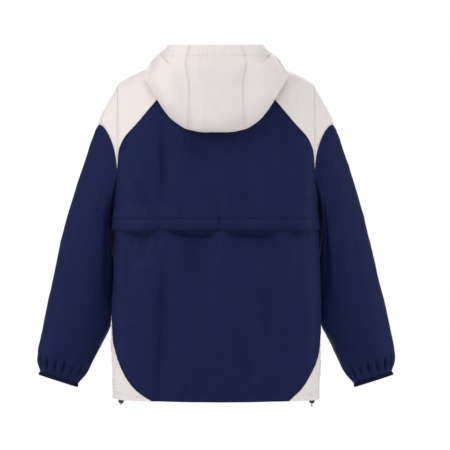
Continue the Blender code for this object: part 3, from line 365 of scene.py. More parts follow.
def feed(tree, value, socket):
    if isinstance(value, (int, float)):
        socket.default_value = value
    else:
        tree.links.new(value, socket)


def calc(tree, kind, *values):
    node = tree.nodes.new("ShaderNodeMath")
    node.operation = kind
    for value, socket in zip(values, node.inputs):
        feed(tree, value, socket)
    return node.outputs[0]


def times(tree, first, second):
    return calc(tree, "MULTIPLY", first, second)


def plus(tree, first, second):
    return calc(tree, "ADD", first, second)


def noiseNode(tree, vector, scale, detail):
    node = tree.nodes.new("ShaderNodeTexNoise")
    node.inputs["Detail"].default_value = detail
    feed(tree, scale, node.inputs["Scale"])
    tree.links.new(vector, node.inputs["Vector"])
    return node.outputs["Fac"]


def bumpNode(tree, height, distance, shader):
    bump = tree.nodes.new("ShaderNodeBump")
    setInputs(bump, {"Distance": distance, "Strength": 1.0})
    tree.links.new(height, bump.inputs["Height"])
    tree.links.new(bump.outputs["Normal"], shader.inputs["Normal"])


weaveLook = {
    "foldHeight": -2.4, "fineHeight": 0.35, "fineScale": 3.1, "threadShade": 0.05, "broadShade": 0.5,
}


def wovenGroup():
    # plain weave on the cloth's own grain, and the fine crinkle of thin nylon
    group, given, made = groupOf("wovenNylon", (
        ("Thread Spacing", 0.0005), ("Thread Height", 0.00002),
        ("Crinkle Size", 0.03), ("Crinkle Height", 0.0003)), ("Height", "Shade"))
    uv = group.nodes.new("ShaderNodeUVMap")
    uv.uv_map = "grain"
    split = group.nodes.new("ShaderNodeSeparateXYZ")
    group.links.new(uv.outputs[0], split.inputs[0])
    turns = calc(group, "DIVIDE", 2 * math.pi, given["Thread Spacing"])
    warp, weft = (calc(group, "SINE", times(group, split.outputs[k], turns)) for k in (0, 1))
    weave = times(group, warp, weft)
    place = group.nodes.new("ShaderNodeTexCoord").outputs["Object"]
    scale = calc(group, "DIVIDE", 1.0, given["Crinkle Size"])
    uneven = calc(group, "SUBTRACT", noiseNode(group, place, scale, 4.0), 0.5)
    fine = noiseNode(group, place, times(group, scale, weaveLook["fineScale"]), 3.0)
    crinkle = plus(group, times(group, calc(group, "ABSOLUTE", uneven), weaveLook["foldHeight"]),
                   times(group, fine, weaveLook["fineHeight"]))
    height = plus(group, times(group, weave, given["Thread Height"]),
                  times(group, crinkle, given["Crinkle Height"]))
    group.links.new(height, made["Height"])
    shade = plus(group, times(group, weave, weaveLook["threadShade"]),
                 times(group, uneven, weaveLook["broadShade"]))
    group.links.new(shade, made["Shade"])
    return group


def seamGroup():
    # the groove of a stitched line, whose mask also darkens the colour there as painted shade, and
    # painted shade along a sewn edge
    group, given, made = groupOf("stitchedSeamAndPaintedShade", (
        ("Groove Width", 0.0011), ("Groove Depth", 0.00025), ("Edge Width", 0.004)),
        ("Height", "Groove", "Edge"))

    def fade(name, width):
        reader = group.nodes.new("ShaderNodeAttribute")
        reader.attribute_name = name
        share = calc(group, "DIVIDE", reader.outputs["Fac"], width)
        return calc(group, "EXPONENT", times(group, calc(group, "POWER", share, 2.0), -1.0))

    groove = fade("stitchGap", given["Groove Width"])
    depth = times(group, groove, given["Groove Depth"])
    group.links.new(times(group, depth, -1.0), made["Height"])
    group.links.new(groove, made["Groove"])
    group.links.new(fade("edgeGap", given["Edge Width"]), made["Edge"])
    return group


woven, stitched = wovenGroup(), seamGroup()


def placeGroup(tree, group, values):
    node = tree.nodes.new("ShaderNodeGroup")
    node.node_tree = group
    setInputs(node, values)
    return node.outputs


def mixColour(tree, share, first, second):
    node = tree.nodes.new("ShaderNodeMix")
    node.data_type = "RGBA"
    if isinstance(first, tuple):
        node.inputs[6].default_value = (*first, 1)
    else:
        tree.links.new(first, node.inputs[6])
    node.inputs[7].default_value = (*second, 1)
    tree.links.new(share, node.inputs[0])
    return node.outputs[2]


def newFinish(name):
    paint = bpy.data.materials.new(name)
    paint.use_nodes = True
    return paint, paint.node_tree, paint.node_tree.nodes["Principled BSDF"]


def clothFinish(name, look):
    paint, tree, shader = newFinish(name)
    weave = placeGroup(tree, woven, look["weave"])
    seam = placeGroup(tree, stitched, look["seam"])
    colour = mixColour(tree, plus(tree, weave["Shade"], 0.5), look["deep"], look["lit"])
    # painted shade: the colour is darkened towards the line colour in the stitched grooves and along
    # the sewn edges
    for part, dark in (("Groove", "grooveShadePainted"), ("Edge", "edgeShadePainted")):
        colour = mixColour(tree, times(tree, seam[part], look[dark]), colour, look["line"])
    tree.links.new(colour, shader.inputs["Base Color"])
    rough = plus(tree, times(tree, weave["Shade"], -0.25), look["roughness"])
    tree.links.new(rough, shader.inputs["Roughness"])
    setInputs(shader, {"Sheen Weight": look["sheen"], "Sheen Roughness": 0.45,
                       "Sheen Tint": (*look["sheenTint"], 1), "Specular IOR Level": look["gloss"]})
    bumpNode(tree, plus(tree, weave["Height"], seam["Height"]), 1.0, shader)
    return paint


# line is the colour of the painted shade in stitched grooves and along sewn edges
navyNylon = clothFinish("navyNylon", {
    "lit": (0.0105, 0.0165, 0.0680), "deep": (0.0065, 0.0110, 0.0480), "line": (0.0015, 0.0028, 0.0130),
    "roughness": 0.55, "sheen": 0.01, "sheenTint": (0.55, 0.62, 0.9), "gloss": 0.05,
    "grooveShadePainted": 0.95, "edgeShadePainted": 0.45,
    "weave": {"Thread Spacing": 0.0006, "Thread Height": 0.00002, "Crinkle Size": 0.030,
              "Crinkle Height": 0.0006},
    "seam": {"Groove Width": 0.0011, "Groove Depth": 0.0003, "Edge Width": 0.003},
})
# line is the colour of the painted shade in stitched grooves and along sewn edges
whiteNylon = clothFinish("whiteNylon", {
    "lit": (0.765, 0.705, 0.690), "deep": (0.67, 0.613, 0.600), "line": (0.42, 0.37, 0.36),
    "roughness": 0.60, "sheen": 0.02, "sheenTint": (1.0, 1.0, 1.0), "gloss": 0.20,
    "grooveShadePainted": 0.42, "edgeShadePainted": 0.12,
    "weave": {"Thread Spacing": 0.0006, "Thread Height": 0.00002, "Crinkle Size": 0.034,
              "Crinkle Height": 0.0006},
    "seam": {"Groove Width": 0.0013, "Groove Depth": 0.0003, "Edge Width": 0.0018},
})
hardLooks = {
    # colour, colour where it is rubbed, roughness, metal, gloss, grain size, grain height
    "navyThread": ((0.010, 0.014, 0.045), (0.022, 0.030, 0.085), 0.7, 0.0, 0.5, 0.0006, 0.0001),
    "whiteThread": ((0.70, 0.64, 0.61), (0.84, 0.80, 0.78), 0.7, 0.0, 0.5, 0.0006, 0.0001),
    "blackPlastic": ((0.012, 0.012, 0.012), (0.035, 0.035, 0.036), 0.45, 0.0, 0.5, 0.0010, 0.0001),
    "blackMetal": ((0.012, 0.012, 0.013), (0.11, 0.11, 0.11), 0.32, 0.6, 0.5, 0.0012, 0.00008),
    "greyCord": ((0.15, 0.15, 0.16), (0.26, 0.26, 0.27), 0.8, 0.0, 0.5, 0.0007, 0.0003),
    "zipTape": ((0.008, 0.013, 0.050), (0.012, 0.018, 0.066), 0.85, 0.0, 0.12, 0.0008, 0.0002),
}


def hardFinish(name, colour, rubbed, roughness, metal, gloss, grainSize, grainHeight):
    # moulded plastic, painted metal, thread and cord: a fine grain and paler rubbed places
    paint, tree, shader = newFinish(name)
    place = tree.nodes.new("ShaderNodeTexCoord").outputs["Object"]
    grain = noiseNode(tree, place, 1.0 / grainSize, 4.0)
    worn = calc(tree, "POWER", noiseNode(tree, place, 0.16 / grainSize, 2.0), 3.0)
    tree.links.new(mixColour(tree, worn, colour, rubbed), shader.inputs["Base Color"])
    rough = plus(tree, times(tree, grain, 0.2), roughness - 0.1)
    tree.links.new(rough, shader.inputs["Roughness"])
    setInputs(shader, {"Metallic": metal, "Specular IOR Level": gloss})
    bumpNode(tree, grain, grainHeight, shader)
    return paint


hard = {name: hardFinish(name, *row) for name, row in hardLooks.items()}
print("materials made")


# sewn panels

stitchForm = {"long": 0.0027, "wide": 0.0006, "high": 0.0005, "pitch": 0.0034, "trim": 0.004,
              "raised": 0.00006, "shortest": 0.012}
stitchRows = {"navy": [], "white": []}      # centres, directions and outward ways


def edgeGaps(grid):
    # each point's distance over the cloth from the panel's four edges
    down, across = runOf(grid, 0), runOf(grid, 1)
    return {"top": down, "bottom": down[-1] - down, "left": across, "right": across[:, -1:] - across}


def pulledIn(grid, edges):
    # half a seam is left free along the edges that are sewn to a neighbour
    grid = grid.copy()
    turned = grid.transpose(1, 0, 2)
    for name, rows in (("top", grid), ("bottom", grid[::-1]),
                       ("left", turned), ("right", turned[::-1])):
        if name in edges:
            way = rows[1] - rows[0]
            size = np.maximum(np.linalg.norm(way, axis=-1, keepdims=True), 1e-9)
            rows[0] += way / size * np.minimum(cloth["seam"] / 2, size * 0.4)
    return grid


def wallMesh(name, outer, inner, grain, marks, around):
    # a closed wall between two grids of points, with the cloth's grain as its UV map
    rows, cols = outer.shape[:2]
    count = rows * cols
    columns = np.arange(cols if around else cols - 1)
    r, c = np.meshgrid(np.arange(rows - 1), columns, indexing="ij")
    d = (c + 1) % cols
    front = np.stack([r * cols + c, r * cols + d, (r + 1) * cols + d, (r + 1) * cols + c], -1)
    front = front.reshape(-1, 4)

    def strip(a, b):
        return np.stack([a, b, count + b, count + a], -1)

    beside, low = (columns + 1) % cols, (rows - 1) * cols
    faces = [front, count + front[:, ::-1], strip(beside, columns), strip(low + columns, low + beside)]
    if not around:
        first = np.arange(rows - 1) * cols
        faces += [strip(first, first + cols), strip(first + 2 * cols - 1, first + cols - 1)]
    faces = np.concatenate(faces)
    places = np.concatenate([outer.reshape(-1, 3), inner.reshape(-1, 3)])
    mesh = bpy.data.meshes.new(name)
    mesh.from_pydata(places.tolist(), [], faces.tolist())
    mesh.validate()
    flat = np.tile(grain.reshape(-1, 2), (2, 1))
    if len(mesh.loops) == faces.size:
        uv = mesh.uv_layers.new(name="grain")
        uv.data.foreach_set("uv", flat[faces.ravel()].astype(np.float32).ravel())
    for label, values in marks.items():
        spot = mesh.attributes.new(label, "FLOAT", "POINT")
        spot.data.foreach_set("value", np.tile(values.reshape(-1), 2).astype(np.float32))
    shape = bmesh.new()
    shape.from_mesh(mesh)
    if shape.calc_volume(signed=True) < 0:
        bmesh.ops.reverse_faces(shape, faces=shape.faces)
        shape.to_mesh(mesh)
    shape.free()
    mesh.shade_smooth()
    mesh.set_sharp_from_angle(angle=math.radians(55))
    return mesh


def stitchLine(colour, grid, out, edge, offset):
    # centres of the stitches that run along one edge of a panel, offset from it
    gaps = edgeGaps(grid)[edge]
    if edge in ("left", "right"):
        grid, out, gaps = grid.transpose(1, 0, 2), out.transpose(1, 0, 2), gaps.T
    line, ways = [], []
    for k in range(grid.shape[1]):
        if gaps[:, k].max() >= offset * 1.6:
            order = np.argsort(gaps[:, k])
            gap = gaps[order, k]
            line.append(sampled([offset], gap, grid[order, k])[0])
            ways.append(sampled([offset], gap, out[order, k])[0])
    if len(line) < 3:
        return
    line, ways = np.array(line), np.array(ways)
    run = runOf(line)
    if run[-1] < stitchForm["shortest"]:
        return
    at = np.arange(stitchForm["trim"], run[-1] - stitchForm["trim"], stitchForm["pitch"])
    reach = stitchForm["wide"]
    along = sampled(at + reach, run, line) - sampled(at - reach, run, line)
    up = unit(sampled(at, run, ways))
    stitchRows[colour].append((sampled(at, run, line) + up * stitchForm["raised"], along, up))


def panel(name, node, points, out, relief, colour, sewn, lines=(), thick=None,
          around=False, join=("top", "bottom", "left", "right")):
    # one piece of cloth: its points, the relief pressed into it, its sewn edges and stitched lines
    gaps = edgeGaps(points)
    far = np.full(points.shape[:2], cloth["farGap"])
    # the distance from the sewn edges sets where painted shade darkens the cloth's colour
    edgeGap = np.min([gaps[e] for e in sewn], axis=0) if sewn else far
    stitchGap = np.min([far] + [np.abs(gaps[edge] - offset) for edge, offset in lines], axis=0)
    outer = points + out * relief[..., None]
    if not around:
        outer = pulledIn(outer, join)
    grain = np.stack([gaps["left"] - gaps["left"][:, -1:] / 2, -gaps["top"]], -1)
    mesh = wallMesh(name, outer, outer - out * (thick or cloth["thick"]), grain,
                    {"edgeGap": edgeGap, "stitchGap": stitchGap}, around)
    mesh.materials.append(navyNylon if colour == "navy" else whiteNylon)
    thing = placed(name, mesh)
    for edge, offset in lines:
        stitchLine(colour, outer, out, edge, offset)
    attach(thing, jacket)
    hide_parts(node)
    return thing


def pucker(along, gap, pitch, height, reach, seed):
    # little waves that run out of a sewn line
    wander = softNoise(along, gap * 0, pitch * 2.2, seed)
    strength = 0.55 + 0.45 * softNoise(along, gap * 0 + 3, pitch * 3.1, seed + 5)
    return height * strength * np.sin(2 * math.pi * along / pitch + 2.6 * wander) \
        * np.exp(-(gap / reach) ** 1.3)


def puckered(rows, gaps, down, shift=0):
    # rows of edge, distance from it, pitch, height, reach and seed
    depth = 0.0
    for edge, offset, pitch, height, reach, seed in rows:
        along = down if edge in ("left", "right") else gaps["left"]
        depth = depth + pucker(along, np.abs(gaps[edge] - offset), pitch, height, reach, seed + shift)
    return depth


def creases(x, z, rows):
    # soft troughs and ridges between two points of the cloth
    depth = np.zeros(np.broadcast(x, z).shape)
    for x0, z0, x1, z1, width, deep, bow in rows:
        long = math.hypot(x1 - x0, z1 - z0)
        wayX, wayZ = (x1 - x0) / long, (z1 - z0) / long
        share = ((x - x0) * wayX + (z - z0) * wayZ) / long
        off = (z - z0) * wayX - (x - x0) * wayZ - bow * 4 * share * (1 - share)
        ends = np.sin(math.pi * np.clip(share, 0, 1)) ** 0.7
        depth += deep * ends * np.exp(-(off / width) ** 2)
    return depth


# seams on the body

backArmAngle = float(angleAt(bodyForm["armBack"], bodyForm["underarm"]))
frontArmAngle = float(angleAt(bodyForm["armFront"], bodyForm["underarm"], True))
zipTurn = math.pi - math.asin(bodyForm["zipHalf"] / bodyForm["neckWidth"])
seams = {
    "yokeZ": (-0.2221, -0.1863, -0.1719, -0.1521, -0.1215, -0.0689, -0.0260),
    "yokeX": (0.2226, 0.2190, 0.2150, 0.2050, 0.1775, 0.1330, 0.0960),
    "sideZ":     (-0.500, -0.5535, -0.6075, -0.6300, -0.6570, -0.6860, -0.7155, -0.7335, -0.7425),
    "sideLeft":  (0.2349, 0.2340, 0.2315, 0.2264, 0.2178, 0.2044, 0.1827, 0.1593, 0.1440),
    "sideRight": (0.2356, 0.2354, 0.2338, 0.2320, 0.2250, 0.2110, 0.1919, 0.1730, 0.1635),
    "sideTop": -0.500, "sideTip": 0.0008, "sideBlend": 0.07, "frontHem": 0.150,
}
lowRows = finer((seams["sideTop"] - seams["sideTip"], -0.527, -0.5535, -0.581, -0.6075, -0.634,
                 -0.660, -0.686, -0.7115, -0.7320, bodyForm["hemCorner"]), 8)


def lowerArmhole(front=False):
    turn = np.linspace(0.0, math.pi / 2, 401)
    end = frontArmAngle if front else backArmAngle
    angle = bodyForm["underarmAngle"] + (end - bodyForm["underarmAngle"]) * np.sin(turn)
    z = bodyForm["junction"] + (bodyForm["underarm"] - bodyForm["junction"]) * np.cos(turn)
    run = runOf(bodyPoint(angle, z))
    return sampled(np.linspace(0, run[-1], spans["lowerArm"] + 1), run, np.stack([angle, z], 1)).T


def upperArmhole():
    first = float(archAngle(bodyForm["armBack"], bodyForm["junction"]))
    last = float(archAngle(bodyForm["armFront"], bodyForm["junction"], True))
    angle = np.linspace(first, last, 1201)
    x = bodyForm["armBack"] + (bodyForm["armFront"] - bodyForm["armBack"]) * ramp(
        angle, math.radians(70), math.radians(125))
    run = runOf(archPoint(x, angle))
    return sampled(np.linspace(0, run[-1], spans["upperArm"] + 1), run, np.stack([x, angle], 1)).T


def neckSeam(turn):
    turn = np.asarray(turn, float)
    x = bodyForm["neckWidth"] * np.sin(turn)
    y = bodyForm["neckY"] + bodyForm["neckLength"] * np.cos(turn)
    depth = np.where(y > 0, archDepth(x), archDepth(x, True))
    share = np.clip(np.abs(y) / depth, 0, 1)
    along = np.linspace(0.0, math.pi / 2, 2001)
    angle = np.interp(share, squared(along, bodyForm["shoulderCorner"])[1][::-1], along[::-1])
    return x, np.where(y > 0, angle, math.pi - angle)


def yokeSeam(front=False):
    neckX, neckAngle = neckSeam(bodyForm["neckFront"] if front else bodyForm["neckBack"])
    neckZ = float(archPoint(neckX, neckAngle)[2])
    z = np.array(seams["yokeZ"] + (neckZ,))
    x = np.array(seams["yokeX"] + (float(neckX),))
    if front:
        z = np.interp(np.arange(len(z)), [0, len(z) - 1], [bodyForm["junction"], neckZ])
        share = np.linspace(0, 1, len(z)) ** 1.35
        x = bodyForm["armFront"] + (float(neckX) - bodyForm["armFront"]) * share
    else:
        z[0], x[0] = bodyForm["junction"], bodyForm["armBack"]
    along, order = np.linspace(0, 1, 200), np.linspace(0, 1, len(z))
    dense = np.stack([curve(order, x)(along), curve(order, z)(along)], axis=1)
    return evenly(dense, spans["yoke"]).T


def sideEdge(z, side):
    z = np.asarray(z, float)
    x = curve(seams["sideZ"], seams["sideLeft" if side > 0 else "sideRight"])(z)
    share = np.clip((seams["sideTop"] - z) / seams["sideBlend"], 0, 1) ** 0.7
    return bodyForm["underarmAngle"] + (angleAt(x, z) - bodyForm["underarmAngle"]) * share


def frontEdge(z):
    last = float(angleAt(seams["frontHem"], bodyForm["hemSide"], True))
    down = (seams["sideTop"] - np.asarray(z, float)) / (seams["sideTop"] - bodyForm["hemSide"])
    share = (1 - np.sqrt(1 - 0.99 * np.clip(down, 0, 1) ** 2)) ** 0.8
    return bodyForm["underarmAngle"] + (last - bodyForm["underarmAngle"]) * share


def hemShare(z):
    # how far a row follows the hem rather than lying level
    return np.clip((seams["sideTop"] - z) / (seams["sideTop"] - bodyForm["hemCorner"]), 0, 1) ** 6


def sidePieceHeights(z):
    across = np.linspace(0, 1, spans["gusset"] + 1)
    rise = bodyForm["hemSide"] - bodyForm["hemCorner"]
    return z[:, None] + hemShare(z)[:, None] * rise * ramp(across, 0.0, 0.5)


# folds that the solids have too

def foldDepth(x, z, folds):
    depth = np.zeros(np.broadcast(x, z).shape)
    for place, top, end, width, drift, deep in folds:
        down = np.clip((top - z) / (top - end), 0, 1)
        across = (x - place - drift * down) / width
        depth += deep * np.sin(math.pi * down) ** 0.8 * np.exp(-across ** 2)
    return depth


def settled(depth):
    # the folds fade out at a panel's side edges, where it is sewn to its neighbours
    last = depth.shape[1] - 1
    wide = max(2, (last + 1) // 24)
    return depth * np.interp(np.arange(last + 1), [0, wide, last - wide, last], [0, 1, 1, 0])


def sideFullness(angle, z):
    # the body's sides fill out a little under the arms, towards the sleeves
    tall = ramp(-z, 0.345, 0.385) * (1 - ramp(-z, 0.490, 0.560))
    off = (np.abs(angle) - bodyForm["underarmAngle"]) / bodyForm["fullWide"]
    return bodyForm["fullDeep"] * tall * np.exp(-off ** 2)


def onBody(angle, height):
    points = bodyPoint(angle, height)
    return points, bodyNormals(angle, height), edgeGaps(points)


def calmSides(gaps, reach=0.012):
    return ramp(gaps["left"], 0.0, reach) * ramp(gaps["right"], 0.0, reach)


# the upper back, with the flap over the vent

upperBack = {
    # place, top, end, width, drift, depth
    "folds": (
        (0.112, -0.080, -0.330, 0.016, 0.004, -0.0050),
        (0.180, -0.250, -0.345, 0.014, -0.042, -0.0040),
        (-0.060, -0.130, -0.320, 0.030, -0.010, -0.0030),
        (-0.150, -0.120, -0.300, 0.020, -0.012, -0.0045),
    ),
    # from x and z, to x and z, width, depth, bow
    "creases": (
        (0.186, -0.250, 0.136, -0.340, 0.0055, -0.0026, -0.004),
        (0.118, -0.110, 0.108, -0.300, 0.0070, -0.0026, 0.004),
        (0.084, -0.285, 0.070, -0.352, 0.0045, -0.0020, 0.0),
        (-0.004, -0.290, -0.011, -0.356, 0.0045, -0.0024, 0.0),
        (-0.080, -0.300, -0.084, -0.352, 0.0045, -0.0018, 0.0),
        (-0.136, -0.292, -0.144, -0.356, 0.0050, -0.0024, 0.0),
        (0.205, -0.235, 0.160, -0.270, 0.0060, -0.0020, 0.003),
        (-0.205, -0.240, -0.150, -0.300, 0.0060, -0.0022, -0.003),
        (0.040, -0.180, 0.030, -0.300, 0.0120, 0.0014, 0.0),
        (-0.100, -0.170, -0.090, -0.310, 0.0110, 0.0014, 0.0),
    ),
    "creaseScale": 1.5,
    # stretch across and down, size, seed, height
    "wrinkle": (1.5, 0.8, 0.034, 3, 0.0014),
    "waves": ((1.3, 0.6, 0.050, 8, 0.0012), (1.0, 0.30, 0.046, 9, 0.0052)),
    # edge, distance from it, pitch, height, reach, seed
    "puckers": (
        ("top", 0.0260, 0.013, 0.0011, 0.013, 21), ("top", 0.0, 0.011, 0.0008, 0.012, 25),
        ("left", 0.0, 0.016, 0.0005, 0.018, 31), ("right", 0.0, 0.016, 0.0005, 0.018, 33),
    ),
    "tacks": (0.1240, -0.0107, -0.1440), "tackUp": 0.0035, "starPoints": 7,
    "starDeep": 0.0013, "tackDeep": 0.0016, "flapHem": 0.0260, "lift": 0.0050,
    "hemRoll": 0.0004, "neckRise": 1.6,
}


def flapLift(x):
    near = np.min([np.abs(x - tack) for tack in upperBack["tacks"]], axis=0)
    return ramp(near, 0.004, 0.040) * (1 - ramp(np.abs(x), 0.180, 0.222))


def tackStars(x, z):
    # small creases that fan out of each place where the flap is tacked down
    depth = np.zeros(np.broadcast(x, z).shape)
    for tack in upperBack["tacks"]:
        dx, dz = x - tack, z - (bodyForm["flapEdge"] + upperBack["tackUp"])
        far = np.hypot(dx, dz)
        star = np.cos(upperBack["starPoints"] * np.arctan2(dz, dx) + 40 * tack)
        depth += (upperBack["starDeep"] * star * np.exp(-far / 0.014) * ramp(far, 0.001, 0.006)
                  - upperBack["tackDeep"] * np.exp(-(far / 0.005) ** 2))
    return depth


def makeUpperBack():
    lowerArm, yokeLine = lowerArmhole(), yokeSeam()
    flapRows = finer((bodyForm["flapEdge"], -0.350, -0.340, -0.330, -0.318, bodyForm["underarm"]), 7)
    ends = np.concatenate([np.full(len(flapRows), bodyForm["underarmAngle"]), lowerArm[0][1:],
                           angleAt(yokeLine[0], yokeLine[1])[1:]])
    z = np.concatenate([flapRows, lowerArm[1][1:], yokeLine[1][1:]])
    across = np.linspace(-1, 1, spans["back"] + 1)
    angle = ends[:, None] * across
    height = np.repeat(z[:, None], len(across), axis=1)
    neck = archPoint(*neckSeam(bodyForm["neckBack"] * across))
    top = slice(-spans["yoke"] - 1, None)
    blend = np.linspace(0, 1, spans["yoke"] + 1)[:, None]
    height[top] += blend ** upperBack["neckRise"] * (neck[:, 2] - neck[0, 2])
    share = (1 - blend) * across + blend * angleAt(neck[:, 0], neck[:, 2]) / ends[-1]
    angle[top] = share * ends[top, None]
    points, out, gaps = onBody(angle, height)
    x, z, hem = points[..., 0], height, gaps["top"]
    depth = foldDepth(x, z, upperBack["folds"]) * (1 - ramp(-z, 0.300, 0.318))
    depth += creases(x, z, upperBack["creases"]) * upperBack["creaseScale"]
    depth += crumpled(x, z, upperBack)
    depth *= calmSides(gaps) * ramp(gaps["bottom"], 0, 0.02)
    depth += ramp(-z, 0.316, 0.330) * (cloth["cadThick"] + cloth["seam"])
    depth += ramp(-z, 0.335, 0.360) * upperBack["lift"] * flapLift(x)
    depth += tackStars(x, z)
    depth += np.exp(-((hem - upperBack["flapHem"] / 2) / 0.008) ** 2) * upperBack["hemRoll"]
    depth += puckered(upperBack["puckers"], gaps, -z)
    return panel("upperBack", "back_upper", points, out, depth, "navy", ("left", "right", "bottom"),
                 (("top", upperBack["flapHem"]), ("top", 0.0022), ("left", 0.0024), ("right", 0.0024)),
                 join=("bottom", "left", "right"))


# the lower back, which hangs under the flap

lowerBack = {
    # place, top, end, width, drift, depth
    "folds": (
        (0.150, -0.352, -0.440, 0.022, 0.010, -0.0075),
        (0.196, -0.390, -0.560, 0.014, 0.002, -0.0035),
        (0.108, -0.370, -0.745, 0.018, 0.016, -0.0060),
        (0.060, -0.352, -0.470, 0.032, -0.006, -0.0050),
        (0.002, -0.400, -0.700, 0.030, 0.004, -0.0025),
        (-0.070, -0.352, -0.480, 0.034, -0.010, -0.0055),
        (-0.110, -0.460, -0.640, 0.020, -0.002, -0.0045),
        (-0.072, -0.610, -0.730, 0.024, 0.012, -0.0045),
        (-0.185, -0.360, -0.560, 0.018, 0.004, -0.0045),
    ),
    # from x and z, to x and z, width, depth, bow
    "creases": (
        (0.201, -0.385, 0.203, -0.505, 0.0055, -0.0024, 0.0),
        (0.108, -0.372, 0.126, -0.742, 0.0080, -0.0030, 0.003),
        (-0.108, -0.465, -0.110, -0.625, 0.0080, -0.0028, -0.002),
        (-0.058, -0.640, -0.078, -0.712, 0.0100, -0.0022, 0.0),
        (0.124, -0.362, 0.142, -0.430, 0.0050, -0.0024, 0.0),
        (0.124, -0.362, 0.096, -0.420, 0.0055, -0.0022, 0.0),
        (-0.011, -0.362, 0.006, -0.440, 0.0055, -0.0022, 0.0),
        (-0.011, -0.362, -0.034, -0.425, 0.0055, -0.0020, 0.0),
        (-0.144, -0.362, -0.128, -0.432, 0.0055, -0.0022, 0.0),
        (-0.144, -0.362, -0.166, -0.430, 0.0055, -0.0022, 0.0),
        (0.066, -0.700, 0.072, -0.742, 0.0040, -0.0016, 0.0),
        (-0.078, -0.706, -0.084, -0.744, 0.0040, -0.0016, 0.0),
    ),
    "creaseScale": 1.6,
    # stretch across and down, size, seed, height
    "wrinkle": (1.7, 0.7, 0.038, 13, 0.0016),
    "waves": ((1.5, 0.5, 0.052, 18, 0.0014), (1.0, 0.26, 0.050, 19, 0.0062)),
    # edge, distance from it, pitch, height, reach, seed
    "hemPuckers": (
        ("bottom", 0.0210, 0.014, 0.0009, 0.016, 41), ("bottom", 0.0, 0.012, 0.0005, 0.010, 43),
    ),
    "sidePuckers": (
        ("left", 0.0, 0.015, 0.0006, 0.018, 45), ("right", 0.0, 0.015, 0.0006, 0.018, 47),
    ),
    # the hollow under the flap's edge is deeper and longer past the left tack
    "hollowZ": -0.364, "hollowX": 0.124, "hollowDeep": (0.0115, 0.0090), "hollowTall": (0.022, 0.013),
    "casing": 0.0210, "casingStep": 0.0003,
}


def makeLowerBack():
    top = finer((bodyForm["ventTop"], -0.345, -0.358, -0.374, -0.394, -0.420, -0.450, -0.478,
                 seams["sideTop"]), 7)
    z = np.concatenate([top, lowRows])
    left, right = (np.where(z < seams["sideTop"], sideEdge(z, side), bodyForm["underarmAngle"])
                   for side in (1, -1))
    across = np.linspace(0, 1, spans["back"] + 1)
    angle = -right[:, None] + (left + right)[:, None] * across
    sag = bodyForm["hemBack"] - bodyForm["hemCorner"]
    height = z[:, None] + hemShare(z)[:, None] * sag * np.sin(math.pi * across)
    points, out, gaps = onBody(angle, height)
    x, z, hem = points[..., 0], height, gaps["bottom"]
    depth = settled(foldDepth(x, z, lowerBack["folds"]))
    deep, tall = (np.where(x > lowerBack["hollowX"], *lowerBack[key])
                  for key in ("hollowDeep", "hollowTall"))
    under = np.exp(-((z - lowerBack["hollowZ"]) / tall) ** 2) * flapLift(x)
    depth -= deep * under * np.sin(math.pi * across) ** 0.3
    calm = calmSides(gaps) * ramp(-z, 0.345, 0.375)
    depth += creases(x, z, lowerBack["creases"]) * calm * lowerBack["creaseScale"]
    depth += crumpled(x, z, lowerBack) * calm + sideFullness(angle, z)
    depth += ramp(hem, lowerBack["casing"], lowerBack["casing"] - 0.004) * lowerBack["casingStep"]
    depth += puckered(lowerBack["hemPuckers"], gaps, -z)
    depth += puckered(lowerBack["sidePuckers"], gaps, -z) * ramp(-z, 0.48, 0.52)
    return panel("lowerBack", "back_lower", points, out, depth, "navy", ("left", "right"),
                 (("bottom", lowerBack["casing"]), ("left", 0.0024), ("right", 0.0024)),
                 join=("top", "left", "right"))


# the white side pieces

sidePiece = {
    "wave": 0.0022, "waveTurns": 11.0, "girth": 0.235, "casing": 0.019,
    "wrinkle": (1.2, 0.9, 0.030, 53, 0.0020), "waves": ((1.0, 0.7, 0.040, 57, 0.0012),),
    # edge, distance from it, pitch, height, reach, seed
    "sidePuckers": (("left", 0.0, 0.014, 0.0006, 0.014, 61), ("right", 0.0, 0.014, 0.0006, 0.014, 63)),
    "hemPuckers": (("bottom", 0.019, 0.013, 0.0005, 0.012, 65),),
}


def makeSidePiece(word, side):
    height = sidePieceHeights(lowRows)
    back, front = sideEdge(lowRows, side), frontEdge(height[:, -1])
    across = np.linspace(0, 1, spans["gusset"] + 1)
    angle = (back[:, None] + (front - back)[:, None] * across) * side
    points, out, gaps = onBody(angle, height)
    wave = sidePiece["wave"] * np.sin(across * sidePiece["waveTurns"]) * np.sin(math.pi * across)
    calm = ramp(np.minimum(gaps["left"], gaps["right"]), 0.0, 0.010)
    depth = wave * ramp(-height, 0.560, 0.690)
    depth += (crumpled(angle * sidePiece["girth"], height, sidePiece, side)
              + puckered(sidePiece["sidePuckers"], gaps, -height, side)) * calm
    depth += puckered(sidePiece["hemPuckers"], gaps, -height, side)
    return panel("sidePiece" + word.title(), "side_gusset_" + word, points, out, depth, "white",
                 ("left", "right"), (("bottom", sidePiece["casing"]),), join=("left", "right"))


# the fronts

fronts = {
    # place, top, end, width, drift, depth
    "folds": (
        (0.150, -0.230, -0.520, 0.020, -0.020, -0.0055),
        (0.090, -0.330, -0.700, 0.024, 0.010, -0.0050),
        (0.052, -0.150, -0.420, 0.022, 0.008, -0.0040),
    ),
    "wrinkle": (1.6, 0.7, 0.038, 73, 0.0018), "waves": ((1.4, 0.5, 0.055, 78, 0.0018),),
    # edge, distance from it, pitch, height, reach, seed
    "puckers": (("top", 0.0200, 0.014, 0.0005, 0.014, 81), ("left", 0.0, 0.013, 0.0006, 0.016, 85),
                ("right", 0.0, 0.013, 0.0006, 0.016, 87)),
    "casing": 0.0200, "neckRise": 1.3,
}


